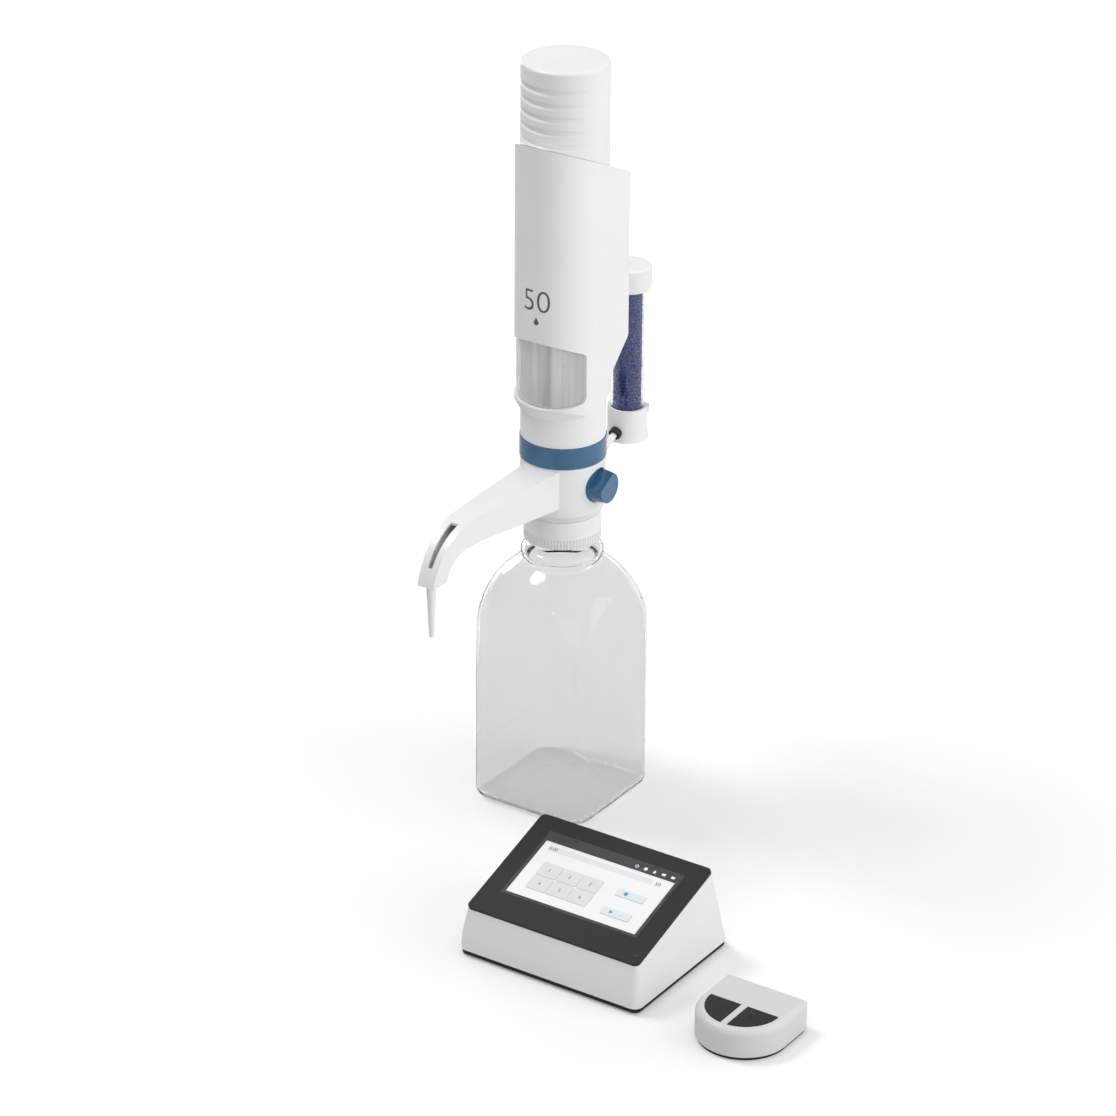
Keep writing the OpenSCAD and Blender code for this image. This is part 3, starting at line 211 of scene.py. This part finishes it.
def speckled(name, dark, light, size, rough, depth):
    """Granular or felted matter: cells of varied tone with rounded heights."""
    look = Look(name, dark)
    cells = look.add("ShaderNodeTexVoronoi", {"Vector": look.place, "Scale": 1 / size})
    look.colours(look.ranged(look.noise(size * 1.7, 4), 0, 1), dark, light)
    look.drive("Roughness", look.ranged(look.noise(size * 0.6, 3), rough - 0.08, rough + 0.1))
    look.relief([(cells.outputs["Distance"], -depth), (look.noise(size * 0.3, 3), depth * 0.2)])
    return look.mat


def lit(name, colour, glow):
    """A part of the lit display: its own colour and glow under a fine pixel grid."""
    look = Look(name, colour, Emission_Strength=glow)
    look.shader.inputs["Emission Color"].default_value = (*colour, 1)
    look.colours(look.ranged(look.noise(0.03, 2), 0, 1), colour, scaled(colour, 0.98))
    look.drive("Roughness", look.ranged(look.noise(0.01, 3), 0.27, 0.34))
    grid = look.add("ShaderNodeTexChecker", {"Vector": look.place, "Scale": 3500.0})
    look.relief([(grid.outputs["Fac"], 0.0000015)])
    return look.mat


LOOKS = {
    "clear_glass": glassy("clear_glass_look", (0.84, 0.845, 0.85), 1.2, 0.0, 0.00001, 0.3, 0.012,
                          Coat_Weight=0.35),
    "cylinder_glass": glassy("cylinder_glass_look", (0.96, 0.965, 0.97), 1.3, 0.0, 0.00003, 0.92),
    "clear_window": haze_and_painted_light("clear_window_look", (0.93, 0.935, 0.94), 0.58, 0.74, 0.9),
    "clear_tubing": glassy("clear_tubing_look", (0.9, 0.91, 0.92), 1.36, 0.12, 0.00005, 0.8),
    "white_plastic": moulded("white_plastic_look", (0.87, 0.875, 0.88), 0.34, 0.0007, 0.000008,
                             Coat_Weight=0.12),
    "white_case": moulded("white_case_look", (0.84, 0.845, 0.85), 0.4, 0.0006, 0.00001),
    "blue_plastic": moulded("blue_plastic_look", (0.036, 0.14, 0.27), 0.24, 0.0007, 0.000008, 0.1,
                            Coat_Weight=0.3),
    "dark_plastic": moulded("dark_plastic_look", (0.021, 0.0215, 0.0225), 0.4, 0.0005, 0.00001, 0.12,
                            Specular_IOR_Level=0.22),
    "black_rubber": moulded("black_rubber_look", (0.01, 0.01, 0.011), 0.72, 0.0009, 0.00003, 0.3),
    "ptfe": moulded("ptfe_look", (0.84, 0.84, 0.83), 0.4, 0.001, 0.00001, 0.04, Subsurface_Weight=0.2,
                    Subsurface_Scale=0.002),
    "steel": metal("steel_look", (0.6, 0.61, 0.62), 0.26),
    "aluminium": metal("aluminium_look", (0.9, 0.905, 0.91), 0.5, 0.3),
    "circuit_board": circuit_board("circuit_board_look", (0.02, 0.12, 0.06), (0.05, 0.22, 0.11)),
    "cell_sleeve": moulded("cell_sleeve_look", (0.05, 0.09, 0.14), 0.3, 0.001, 0.00001, 0.1),
    "drying_granules": speckled("drying_granules_look", (0.008, 0.018, 0.15), (0.022, 0.05, 0.3),
                                0.004, 0.4, 0.00002),
    "filter_felt": speckled("filter_felt_look", (0.72, 0.72, 0.7), (0.84, 0.84, 0.82), 0.0012, 0.85,
                            0.0002),
    "display": lit("display_look", (0.84, 0.85, 0.86), 0.1),
}
INK = moulded("ink_look", (0.11, 0.115, 0.12), 0.5, 0.0004, 0.000005, 0.1)
ICON_WHITE = lit("icon_white_look", (0.8, 0.81, 0.83), 0.15)
TILE_GREY = lit("tile_grey_look", (0.69, 0.7, 0.71), 0.1)
HEADER_GREY = lit("header_grey_look", (0.73, 0.74, 0.75), 0.1)
BUTTON_PALE = lit("button_pale_look", (0.7, 0.76, 0.79), 0.1)
SHADE_GREY = lit("shade_grey_look", (0.5, 0.515, 0.53), 0.08)
ICON_BLUE = lit("icon_blue_look", (0.07, 0.3, 0.5), 0.1)
DIGIT_DARK = lit("digit_dark_look", (0.1, 0.1, 0.11), 0.02)
DRYER_GLASS = glassy("dryer_glass_look", (0.93, 0.94, 0.95), 1.47, 0.0, 0.00002, 0.85)
REMOTE_GREY = moulded("remote_grey_look", (0.68, 0.685, 0.69), 0.42, 0.0006, 0.00001)
PANEL_BLACK = moulded("panel_black_look", (0.03, 0.031, 0.033), 0.3, 0.0006, 0.000005, 0.1,
                      Coat_Weight=0.3)


# ---- Mesh helpers, in millimetres ----

MERGE, NODE_MERGE, SHARP_DEGREES = 1e-4, 1e-3, 40
EDGE_ANGLE, FLAT_ANGLE = math.radians(24), math.radians(0.4)


def place_piece(name, bm, body, look, replaces=(), sharp=SHARP_DEGREES):
    """Makes a piece of the mesh bm and lets it ride on its body."""
    bmesh.ops.remove_doubles(bm, verts=bm.verts, dist=MERGE)
    bmesh.ops.recalc_face_normals(bm, faces=bm.faces)
    bm.transform(Matrix.Scale(MM, 4))
    mesh = bpy.data.meshes.new(name)
    bm.to_mesh(mesh)
    bm.free()
    mesh.shade_smooth()
    mesh.set_sharp_from_angle(angle=math.radians(sharp))
    mesh.materials.append(look)
    obj = bpy.data.objects.new(name, mesh)
    bpy.context.scene.collection.objects.link(obj)
    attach(obj, body)
    if replaces:
        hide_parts(*replaces)
    return obj


def stand_in(name, bm, node, sharp, look=None):
    """A piece that replaces a CAD node, with the node's body and slot."""
    return place_piece(name, bm, BODIES[node], look or LOOKS[SLOTS[node]], [node], sharp)


def softened(node, width, look=None):
    """A CAD node's form with its hard edges rounded over."""
    bm = bmesh.new()
    bm.from_mesh(frame["nodes"][node].data)
    bm.transform(Matrix.Scale(1 / MM, 4))
    bmesh.ops.remove_doubles(bm, verts=bm.verts, dist=NODE_MERGE)
    bmesh.ops.dissolve_limit(bm, angle_limit=FLAT_ANGLE, verts=bm.verts, edges=bm.edges)
    obj = stand_in("soft_" + node, bm, node, 180, look)
    for name in ("custom_normal", "sharp_edge", "sharp_face"):
        if name in obj.data.attributes:
            obj.data.attributes.remove(obj.data.attributes[name])
    round_over = obj.modifiers.new("round_over", "BEVEL")
    round_over.width = width * MM
    round_over.segments = 3
    round_over.limit_method = "ANGLE"
    round_over.angle_limit = EDGE_ANGLE
    round_over.miter_outer = "MITER_ARC"
    obj.modifiers.new("even_shade", "WEIGHTED_NORMAL").keep_sharp = True


def soft_min(a, b, k):
    """The lesser of two lengths, with the change from one to the other eased over k."""
    h = max(k - abs(a - b), 0) / k
    return min(a, b) - h * h * k / 4


def arc(cx, cz, r, start, end, n):
    """Points along an arc about (cx, cz), with its angles in degrees."""
    angles = [math.radians(start + (end - start) * i / n) for i in range(n + 1)]
    return [(cx + r * math.cos(a), cz + r * math.sin(a)) for a in angles]


def revolved(outline, steps, centre=(0, 0)):
    """A closed skin from outline(angle), which gives the same number of (radius, height) points each time."""
    bm = bmesh.new()
    rings = []
    for i in range(steps):
        a = 2 * math.pi * i / steps
        c, s = math.cos(a), math.sin(a)
        rings.append([bm.verts.new((centre[0] + r * c, centre[1] + r * s, z)) for r, z in outline(a)])
    for i in range(steps):
        here, there = rings[i], rings[(i + 1) % steps]
        for j in range(len(here) - 1):
            bm.faces.new((here[j], there[j], there[j + 1], here[j + 1]))
    bmesh.ops.remove_doubles(bm, verts=bm.verts, dist=MERGE)
    return bm


def prism(bm, points, low, high):
    """Adds a flat-topped slab with the outline points between two heights."""
    bottom = [bm.verts.new((x, y, low)) for x, y in points]
    top = [bm.verts.new((x, y, high)) for x, y in points]
    n = len(points)
    bm.faces.new(bottom[::-1])
    bm.faces.new(top)
    for i in range(n):
        bm.faces.new((bottom[i], bottom[(i + 1) % n], top[(i + 1) % n], top[i]))


def rounded(x0, y0, x1, y1, r):
    """Outline of a rectangle with rounded corners."""
    corners = [(x1 - r, y1 - r, 0), (x0 + r, y1 - r, 90), (x0 + r, y0 + r, 180), (x1 - r, y0 + r, 270)]
    return [p for x, y, a in corners for p in arc(x, y, r, a, a + 90, 5)]


def numerals(text, box, thin=0.0):
    """Flat figures as high as box = (x0, y0, x1, y1) and centred in it, as a mesh."""
    curve = bpy.data.curves.new("figures", "FONT")
    curve.body = text
    curve.offset = -thin
    obj = bpy.data.objects.new("figures", curve)
    bpy.context.scene.collection.objects.link(obj)
    mesh = bpy.data.meshes.new_from_object(obj.evaluated_get(bpy.context.evaluated_depsgraph_get()))
    bpy.data.objects.remove(obj)
    bpy.data.curves.remove(curve)
    bm = bmesh.new()
    bm.from_mesh(mesh)
    bpy.data.meshes.remove(mesh)
    xs, ys = [v.co.x for v in bm.verts], [v.co.y for v in bm.verts]
    size = (box[3] - box[1]) / (max(ys) - min(ys))
    mid = (min(xs) + max(xs)) / 2
    for v in bm.verts:
        v.co = ((box[0] + box[2]) / 2 + (v.co.x - mid) * size, box[1] + (v.co.y - min(ys)) * size, 0)
    return bm


def merge(bm, other, height):
    """Adds other to bm, raised by height, and frees it."""
    mesh = bpy.data.meshes.new("merged")
    other.transform(Matrix.Translation((0, 0, height)))
    other.to_mesh(mesh)
    other.free()
    bm.from_mesh(mesh)
    bpy.data.meshes.remove(mesh)


# ---- Bottle: a blown square body, whose flat sides run softly into the dome ----

HALF_W, CORNER_R, BOTTLE_H = 47.7, 16, 212
WALL, FLOOR_T, ROOT_WALL = 2.4, 3, 3.5
BASE_R, PUSH_R, PUSH_UP, PUSH_UP_INSIDE = 7, 34, 1.4, 1.2
STEP, STEP_Z, STEP_RUN = 0.25, 34.6, 1.2
DOME_R, DOME_AXIS, DOME_Z, DOME_FLARE, EASE = 65, -4.17, 125, 0.004, 2
ROOT_R, BEAD_R, BEAD_Z, BEAD_EDGE, BEAD_LOW, BEAD_HIGH = 27, 28.9, 188.6, 5, -55, 70
NECK_R, BORE_R, THREAD_T, THREADS_Z = 20.5, 15.2, 1.5, (199.5, 204.5)


def square_reach(angle, inset, sharper):
    """Distance from the axis to a rounded square's outline."""
    w, r = HALF_W - inset, CORNER_R - inset - sharper
    c, s = abs(math.cos(angle)), abs(math.sin(angle))
    flat = w / max(c, s)
    if flat * min(c, s) <= w - r:
        return flat
    along = (w - r) * (c + s)
    return along + math.sqrt(r * r - 2 * (w - r) ** 2 + along * along)


def step_in(z):
    """The body narrows slightly above a line low down, where the mould's base part met its sides."""
    return STEP * min(max((z - STEP_Z) / STEP_RUN, 0), 1)


def body_line(angle, inset, floor_z, edge_r, dome_r, top_r):
    """One side of the body from its floor's edge up to the neck's root.
    The glass is thinner at the corners."""
    points = []
    for r, z in arc(0, floor_z + edge_r, edge_r, -90, 0, 8):
        points.append((square_reach(angle, inset + edge_r - r, inset), z))
    start = floor_z + edge_r
    levels = [start + (DOME_Z - start) * i / 30 for i in range(1, 30)]
    for z in sorted([*levels, STEP_Z, STEP_Z + STEP_RUN / 2, STEP_Z + STEP_RUN]):
        limit = dome_r + DOME_AXIS + (DOME_Z - z) ** 2 * DOME_FLARE
        points.append((soft_min(square_reach(angle, inset + step_in(z), inset), limit, EASE), z))
    last = math.degrees(math.acos((top_r - DOME_AXIS) / dome_r))
    for r, z in arc(DOME_AXIS, DOME_Z, dome_r, 0, last, 40):
        points.append((soft_min(square_reach(angle, inset + STEP, inset), r, EASE), z))
    return points


def pushed_up(floor_z, height):
    """The floor's line, which rises to the middle."""
    return [(r, floor_z + height * max(0, 1 - (r / PUSH_R) ** 2)) for r in (0, 6, 12, 18, 24, 29, PUSH_R)]


def bottle_outline(angle):
    outer = pushed_up(0, PUSH_UP) + body_line(angle, 0, 0, BASE_R, DOME_R, ROOT_R)
    outer += arc(BEAD_R - BEAD_EDGE, BEAD_Z, BEAD_EDGE, BEAD_LOW, BEAD_HIGH, 14)
    outer += [(NECK_R + 0.6, BEAD_Z + 5.4), (NECK_R, BEAD_Z + 7)]
    for z in THREADS_Z:
        outer += [(NECK_R, z), (NECK_R + THREAD_T, z + 1), (NECK_R + THREAD_T, z + 2), (NECK_R, z + 3)]
    outer += [(NECK_R, BOTTLE_H - 1), (NECK_R - 1, BOTTLE_H)]
    inner = [(BORE_R + 0.6, BOTTLE_H), (BORE_R, BOTTLE_H - 0.6), (BORE_R, BEAD_Z + 8),
             (BORE_R + 1.5, BEAD_Z + 5.5)]
    inner += arc(BEAD_R - BEAD_EDGE, BEAD_Z, BEAD_EDGE - WALL, BEAD_HIGH, BEAD_LOW, 8)
    inner += body_line(angle, WALL, FLOOR_T, BASE_R - WALL, DOME_R - WALL, ROOT_R - ROOT_WALL)[::-1]
    return outer + inner + pushed_up(FLOOR_T, PUSH_UP_INSIDE)[::-1]


stand_in("blown_bottle", revolved(bottle_outline, 176), "bottle", 60)


# ---- Top cap: grip grooves that run out softly at the sides ----

CAP_R, CAP_TOP, CAP_EDGE, CAP_WALL, CAP_ROWS = 30, 546, 2, 2.4, 120
PLANE_Z, PLANE_SLOPE, LIP = 478.5, 0.45, 0.3
GROOVES, GROOVE_PITCH, GROOVE_FIRST, GROOVE_FLOOR, GROOVE_SHIFT = 5, 9.3, 14, 31.75, 3.25
GROOVE_REACH, GROOVE_HALF, SLOPE_BELOW, SLOPE_ABOVE, GROOVE_EASE = 6, 1.2, 0.95, 0.6, 0.5
SPIGOT_R, SPIGOT_BORE, SPIGOT_Z, HOLLOW_Z = 27, 25.2, 462.5, 494


def grooved_radius(angle, z):
    radius = CAP_R
    for i in range(GROOVES):
        t = z - (CAP_TOP - GROOVE_FIRST - i * GROOVE_PITCH)
        if abs(t) < GROOVE_REACH:
            wide = GROOVE_FLOOR + max(0, (-t - GROOVE_HALF) / SLOPE_BELOW, (t - GROOVE_HALF) / SLOPE_ABOVE)
            reach = math.sqrt(wide ** 2 - (GROOVE_SHIFT * math.cos(angle)) ** 2)
            radius = soft_min(radius, GROOVE_SHIFT * math.sin(angle) + reach, GROOVE_EASE)
    return radius


def cap_outline(angle):
    low = PLANE_Z - PLANE_SLOPE * CAP_R * math.sin(angle)
    inner_low = PLANE_Z - PLANE_SLOPE * SPIGOT_R * math.sin(angle)
    top = CAP_TOP - CAP_EDGE
    points = [(0, CAP_TOP), (10, CAP_TOP), (20, CAP_TOP)]
    points += [(r, z) for z, r in arc(top, CAP_R - CAP_EDGE, CAP_EDGE, 0, 90, 6)]
    for i in range(1, CAP_ROWS):
        z = top - (top - low - LIP) * i / CAP_ROWS
        points.append((grooved_radius(angle, z), z))
    points += [(CAP_R, low + LIP), (CAP_R - LIP, low), (SPIGOT_R, inner_low), (SPIGOT_R, SPIGOT_Z)]
    points += [(SPIGOT_BORE, SPIGOT_Z), (SPIGOT_BORE, HOLLOW_Z), (CAP_R - CAP_WALL, HOLLOW_Z)]
    return points + [(CAP_R - CAP_WALL, CAP_TOP - CAP_WALL), (0, CAP_TOP - CAP_WALL)]


stand_in("grooved_cap", revolved(cap_outline, 144), "top_cap", 50)


# ---- Moulded pieces with rounded edges ----

EDGE_WIDTHS = {
    "head_housing": 0.7, "lower_sleeve": 0.4, "blue_ring": 0.4, "valve_block": 0.6, "neck_collar": 0.12,
    "discharge_arm": 1.0, "nozzle": 0.15, "valve_knob": 0.7, "dryer_socket": 0.5, "dryer_lid": 0.6,
    "console_housing": 1.2, "console_bezel": 0.45, "console_foot_plate": 0.5, "power_button": 0.4,
    "power_socket": 0.2, "remote_shell": 0.4, "remote_base": 0.4, "left_button": 0.35,
    "right_button": 0.35,
}
for node, width in EDGE_WIDTHS.items():
    softened(node, width, REMOTE_GREY if node == "remote_shell" else None)


# ---- Drying tube: round granules packed against the glass ----

DRYER_Y, FILL_R, FILL_LOW, FILL_HIGH = 81, 10.6, 261.2, 364.8
GRAIN_R, ROW_PITCH, GRAIN_PITCH = 1.5, 1.7, 1.9


def granules():
    """A plain core inside rows of balls, whose sizes and places vary a little."""
    rand = random.Random(7)
    core_r = FILL_R - 1.5 * GRAIN_R
    core = [(0, FILL_LOW), (core_r, FILL_LOW), (core_r, FILL_HIGH), (0, FILL_HIGH)]
    bm = revolved(lambda a: core, 32, (0, DRYER_Y))
    ball = bmesh.new()
    bmesh.ops.create_icosphere(ball, subdivisions=2, radius=1)
    corners = [v.co.copy() for v in ball.verts]
    faces = [[v.index for v in f.verts] for f in ball.faces]
    ball.free()
    rows = int((FILL_HIGH - FILL_LOW - 2 * GRAIN_R) / (GRAIN_R * ROW_PITCH))
    around = int(2 * math.pi * (FILL_R - GRAIN_R) / (GRAIN_R * GRAIN_PITCH))
    for row in range(rows + 1):
        for i in range(around):
            r = GRAIN_R * rand.uniform(0.8, 1.08)
            a = 2 * math.pi * (i + row / 2 + rand.uniform(-0.22, 0.22)) / around
            out = FILL_R - r - rand.uniform(0, 0.5)
            z = FILL_LOW + GRAIN_R * 1.1 + row * GRAIN_R * ROW_PITCH + rand.uniform(-0.3, 0.3)
            z = min(max(z, FILL_LOW + r), FILL_HIGH - r)
            at = Vector((out * math.cos(a), DRYER_Y + out * math.sin(a), z))
            verts = [bm.verts.new(at + r * c) for c in corners]
            for f in faces:
                bm.faces.new([verts[k] for k in f])
    return bm


stand_in("granule_bed", granules(), "dryer_granules", 60)


# ---- Printed figures on the housing's round front ----

FRONT_R, FRONT_Y, PRINT_T, STRIP = 30, -6.3, 0.06, 0.5


def drop(x, y, size):
    """Outline of a falling drop."""
    return [*arc(x, y, size, -230, 50, 16), (x, y + size * 2.1)]


def wrapped(bm, angle, z):
    """Cuts a flat print into narrow strips, thickens it and lays it round the front."""
    for step in range(-24, 25):
        bmesh.ops.bisect_plane(bm, geom=[*bm.verts, *bm.edges, *bm.faces],
                               plane_co=(step * STRIP, 0, 0), plane_no=(1, 0, 0))
    shell = bmesh.ops.extrude_face_region(bm, geom=list(bm.faces))
    for v in shell["geom"]:
        if isinstance(v, bmesh.types.BMVert):
            v.co.z += PRINT_T
    for v in bm.verts:
        a = math.radians(angle) + v.co.x / FRONT_R
        r = FRONT_R - PRINT_T / 2 + v.co.z
        v.co = (r * math.sin(a), FRONT_Y - r * math.cos(a), z + v.co.y)
    return bm


def flat_shape(points):
    bm = bmesh.new()
    bm.faces.new([bm.verts.new((x, y, 0)) for x, y in points])
    return bm


fifty = numerals("50", (-8.1, -7.6, 8.1, 7.6), 0.012)
place_piece("front_figures", wrapped(fifty, 3.0, 386.3), "head", INK)
place_piece("front_drop", wrapped(flat_shape(drop(0, -1.2, 1.9)), 3.2, 372), "head", INK)


# ---- Console display, in the plane of the bezel's sloping face ----

SLOPE = Matrix.Translation((142.2, -225.5, 35.5)) @ Matrix.Rotation(math.radians(17.3), 4, "X")
PANEL_Z = -0.3
SUNK, SHADE_T, TILE_T, ICON_T, DIGIT_T = PANEL_Z - 0.05, 0.03, 0.06, 0.1, 0.09
SCREEN = (-50.9, 23.3, 50.9, 74.7)
BORDER = (-53.4, 20.8, 53.4, 83)
TILES = [(x, y, x + 15.4, y + 12) for y in (45, 32) for x in (-41, -25, -9)]
BUTTONS = [(18.5, 49.6, 40.5, 55.8), (18.3, 31.4, 40.3, 37.8)]


def on_slope(name, shapes, look, low, high):
    """Thin slabs on the console's sloping face, between two heights from the bezel's face."""
    bm = bmesh.new()
    for points in shapes:
        prism(bm, points, low, high)
    bm.transform(SLOPE)
    place_piece(name, bm, "console", look)


def disc(x, y, r):
    return arc(x, y, r, 0, 342, 19)


def ring_of(x, y, outer, inner, n=20):
    """A ring as four-sided slabs."""
    spans = [2 * math.pi * i / n for i in range(n + 1)]
    return [[(x + r * math.cos(t), y + r * math.sin(t)) for r, t in
             ((inner, a), (outer, a), (outer, b), (inner, b))] for a, b in zip(spans, spans[1:])]


def frame_of(inside, outside):
    """A rectangular frame as four slabs."""
    (x1, y1, x2, y2), (x0, y0, x3, y3) = inside, outside
    sides = [(x0, y0, x3, y1), (x0, y2, x3, y3), (x0, y1, x1, y2), (x2, y1, x3, y2)]
    return [[(a, b), (c, b), (c, d), (a, d)] for a, b, c, d in sides]


on_slope("screen_header", [rounded(-46, 67, 36.5, 71.6, 0.8)], HEADER_GREY, SUNK, PANEL_Z + SHADE_T)
on_slope("screen_shade", [rounded(x0 + 0.4, y0 - 0.7, x1 + 0.5, y1 - 0.4, 1)
                          for x0, y0, x1, y1 in TILES + BUTTONS], SHADE_GREY, SUNK, PANEL_Z + SHADE_T)
on_slope("screen_tiles", [rounded(*tile, 1) for tile in TILES], TILE_GREY, SUNK, PANEL_Z + TILE_T)
on_slope("screen_buttons", [rounded(*button, 1.4) for button in BUTTONS], BUTTON_PALE, SUNK,
         PANEL_Z + TILE_T)
on_slope("screen_icons", [disc(25.8, 52.8, 1.6), [(24.2, 33.1), (27, 34.7), (24.2, 36.3)]], ICON_BLUE,
         SUNK, PANEL_Z + ICON_T)
on_slope("status_marks", [*ring_of(19.1, 78, 1.3, 0.8), disc(26, 77.9, 1.35), drop(33, 77.4, 1),
                          rounded(38.6, 76.9, 41.4, 79, 0.3), rounded(45.8, 77, 48.6, 79, 0.4)],
         ICON_WHITE, -0.05, 0.12)
on_slope("panel_border", frame_of(SCREEN, BORDER), PANEL_BLACK, -0.04, 0.08)
on_slope("sensor_dot", [disc(62, 7.5, 0.9)], PANEL_BLACK, -0.04, 0.04)

figures = bmesh.new()
for text, (x0, y0, x1, y1) in zip("123456", TILES):
    cx, cy = (x0 + x1) / 2, (y0 + y1) / 2
    merge(figures, numerals(text, (cx - 0.9, cy - 1.4, cx + 0.9, cy + 1.4)), PANEL_Z + DIGIT_T)
merge(figures, numerals("0.00", (-45, 68, -39, 70.6)), PANEL_Z + TILE_T)
merge(figures, numerals("50", (38.6, 67.6, 43, 70.6)), PANEL_Z + TILE_T)
figures.transform(SLOPE)
place_piece("screen_figures", figures, "console", DIGIT_DARK)


# ---- Every node that still shows gets its material ----

for node, obj in frame["nodes"].items():
    obj.data.materials.clear()
    obj.data.materials.append(DRYER_GLASS if node == "dryer_glass" else LOOKS[SLOTS[node]])


# ---- Camera: its angle and distance in millimetres, and the photograph's frame in pixels ----

AZIMUTH, ELEVATION, DISTANCE = math.radians(34.43), math.radians(25.84), 3077.3
PHOTO_SIDE, FOCAL, CENTRE_X, SENSOR = 1116, 4433.9, 497, 36
RIGHT = Vector((math.cos(AZIMUTH), math.sin(AZIMUTH), 0))
BACK = Vector((math.sin(AZIMUTH) * math.cos(ELEVATION), -math.cos(AZIMUTH) * math.cos(ELEVATION),
               math.sin(ELEVATION)))
TARGET = Vector((0, 0, 180.9)) - 45.23 * RIGHT
TOWARDS = Vector((BACK.x, BACK.y, 0)).normalized()
UP = Vector((0, 0, 1))


def photo_camera():
    camera = bpy.data.cameras.new("camera")
    camera.sensor_width = SENSOR
    camera.lens = FOCAL / PHOTO_SIDE * SENSOR
    camera.shift_x = (PHOTO_SIDE / 2 - CENTRE_X) / PHOTO_SIDE
    camera.clip_start = 0.1
    camera.clip_end = 100
    obj = bpy.data.objects.new("camera", camera)
    bpy.context.scene.collection.objects.link(obj)
    obj.location = (TARGET + BACK * DISTANCE) * MM
    obj.rotation_euler = (-BACK).to_track_quat("-Z", "Y").to_euler()
    bpy.context.scene.camera = obj


# ---- Studio: pale floor, white surroundings, soft light ----

LAMPS_AIM = Vector((0.05, -0.08, 0.22))
BRIGHT_SIDE = (RIGHT * 0.85 + TOWARDS * 0.3 + UP * 0.4).normalized()
# The second value is the floor's colour for the light it throws back, grey at the left and paler at the
# right: painted shade for the object's left side.
FLOOR_WHITE, BOUNCE_PAINTED_SHADE = 0.8, (0.42, 0.9)
PAINTED_SHADE_RUN, LIFT_RUN = (-0.5, 0.6), (0.35, 1.5)


def white_world(ambient, slant, reflected):
    """White where it is seen. Its light is stronger from the right, and gloss sees it fade to the left."""
    world = bpy.data.worlds.new("studio")
    world.use_nodes = True
    bpy.context.scene.world = world
    tree = world.node_tree
    background = tree.nodes["Background"]
    background.inputs["Color"].default_value = (1, 1, 1, 1)
    inputs = {0: tree.nodes.new("ShaderNodeTexCoord").outputs["Generated"], 1: BRIGHT_SIDE}
    facing = add_node(tree, "ShaderNodeVectorMath", inputs, operation="DOT_PRODUCT").outputs["Value"]
    strength = span(tree, facing, (-1, 1), (ambient * (1 - slant), ambient * (1 + slant)))
    glossy = span(tree, facing, (-1, 1), reflected)
    rays = tree.nodes.new("ShaderNodeLightPath").outputs
    for ray, value in (("Is Glossy Ray", glossy), ("Is Camera Ray", 1.0), ("Is Transmission Ray", 1.0)):
        inputs = {"Factor": rays[ray], "A": strength, "B": value}
        strength = add_node(tree, "ShaderNodeMix", inputs).outputs["Result"]
    tree.links.new(strength, background.inputs["Strength"])


def pale_floor(near, far):
    """A white floor that keeps shadows: rays that see it directly get a little glow, more of it far out.
    What it throws back on the object is greyer towards the left: painted shade on the object's left side."""
    bm = bmesh.new()
    bmesh.ops.create_grid(bm, x_segments=8, y_segments=8, size=40)
    mesh = bpy.data.meshes.new("floor")
    bm.to_mesh(mesh)
    bm.free()
    floor = bpy.data.objects.new("floor", mesh)
    bpy.context.scene.collection.objects.link(floor)
    look = Look("floor_look", (FLOOR_WHITE, FLOOR_WHITE, FLOOR_WHITE))
    look.drive("Roughness", look.ranged(look.noise(0.4, 2), 0.75, 0.85))
    tree = look.tree
    rays = tree.nodes.new("ShaderNodeLightPath").outputs
    seen = combined(tree, "MAXIMUM", rays["Is Camera Ray"], rays["Is Transmission Ray"])
    aside = look.add("ShaderNodeVectorMath", {0: look.place, 1: RIGHT}, operation="DOT_PRODUCT")
    # Painted shade: the floor throws back less light from its left side.
    shaded_bounce = span(tree, aside.outputs["Value"], PAINTED_SHADE_RUN, BOUNCE_PAINTED_SHADE)
    white = look.add("ShaderNodeMix", {"Factor": seen, "A": shaded_bounce, "B": FLOOR_WHITE})
    look.drive("Base Color", white.outputs["Result"])
    away = look.add("ShaderNodeVectorMath", {"Vector": look.place}, operation="LENGTH")
    lift = span(tree, away.outputs["Value"], LIFT_RUN, (near, far))
    strength = combined(tree, "MULTIPLY", seen, lift)
    glow = look.add("ShaderNodeEmission", {"Color": (1, 1, 1, 1), "Strength": strength})
    both = look.add("ShaderNodeAddShader", {0: look.shader.outputs[0], 1: glow.outputs[0]})
    look.surface(both.outputs[0])
    mesh.materials.append(look.mat)


def soft_lamp(name, direction, distance, size, energy):
    lamp = bpy.data.lights.new(name, "AREA")
    lamp.shape = "DISK"
    lamp.size = size
    lamp.energy = energy
    obj = bpy.data.objects.new(name, lamp)
    bpy.context.scene.collection.objects.link(obj)
    obj.location = LAMPS_AIM + direction.normalized() * distance
    obj.rotation_euler = (LAMPS_AIM - obj.location).to_track_quat("-Z", "Y").to_euler()


white_world(0.54, 0.6, (0.1, 1.05))
pale_floor(0.175, 0.6)
soft_lamp("overhead", -0.45 * RIGHT - 0.2 * TOWARDS + 0.86 * UP, 2.6, 0.9, 26)
soft_lamp("side", 0.9 * RIGHT + 0.3 * TOWARDS + 0.35 * UP, 2.8, 2.4, 18)
soft_lamp("rim", -0.42 * RIGHT - 0.9 * TOWARDS + 0.1 * UP, 2.4, 0.5, 9)
soft_lamp("fill", 0.1 * RIGHT + 0.95 * TOWARDS + 0.25 * UP, 3.0, 2.4, 7)
soft_lamp("spark", -0.25 * RIGHT + 0.8 * TOWARDS + 0.75 * UP, 2.6, 0.22, 0.5)
photo_camera()
bpy.context.scene.view_settings.view_transform = "Standard"

bpy.context.view_layer.update()
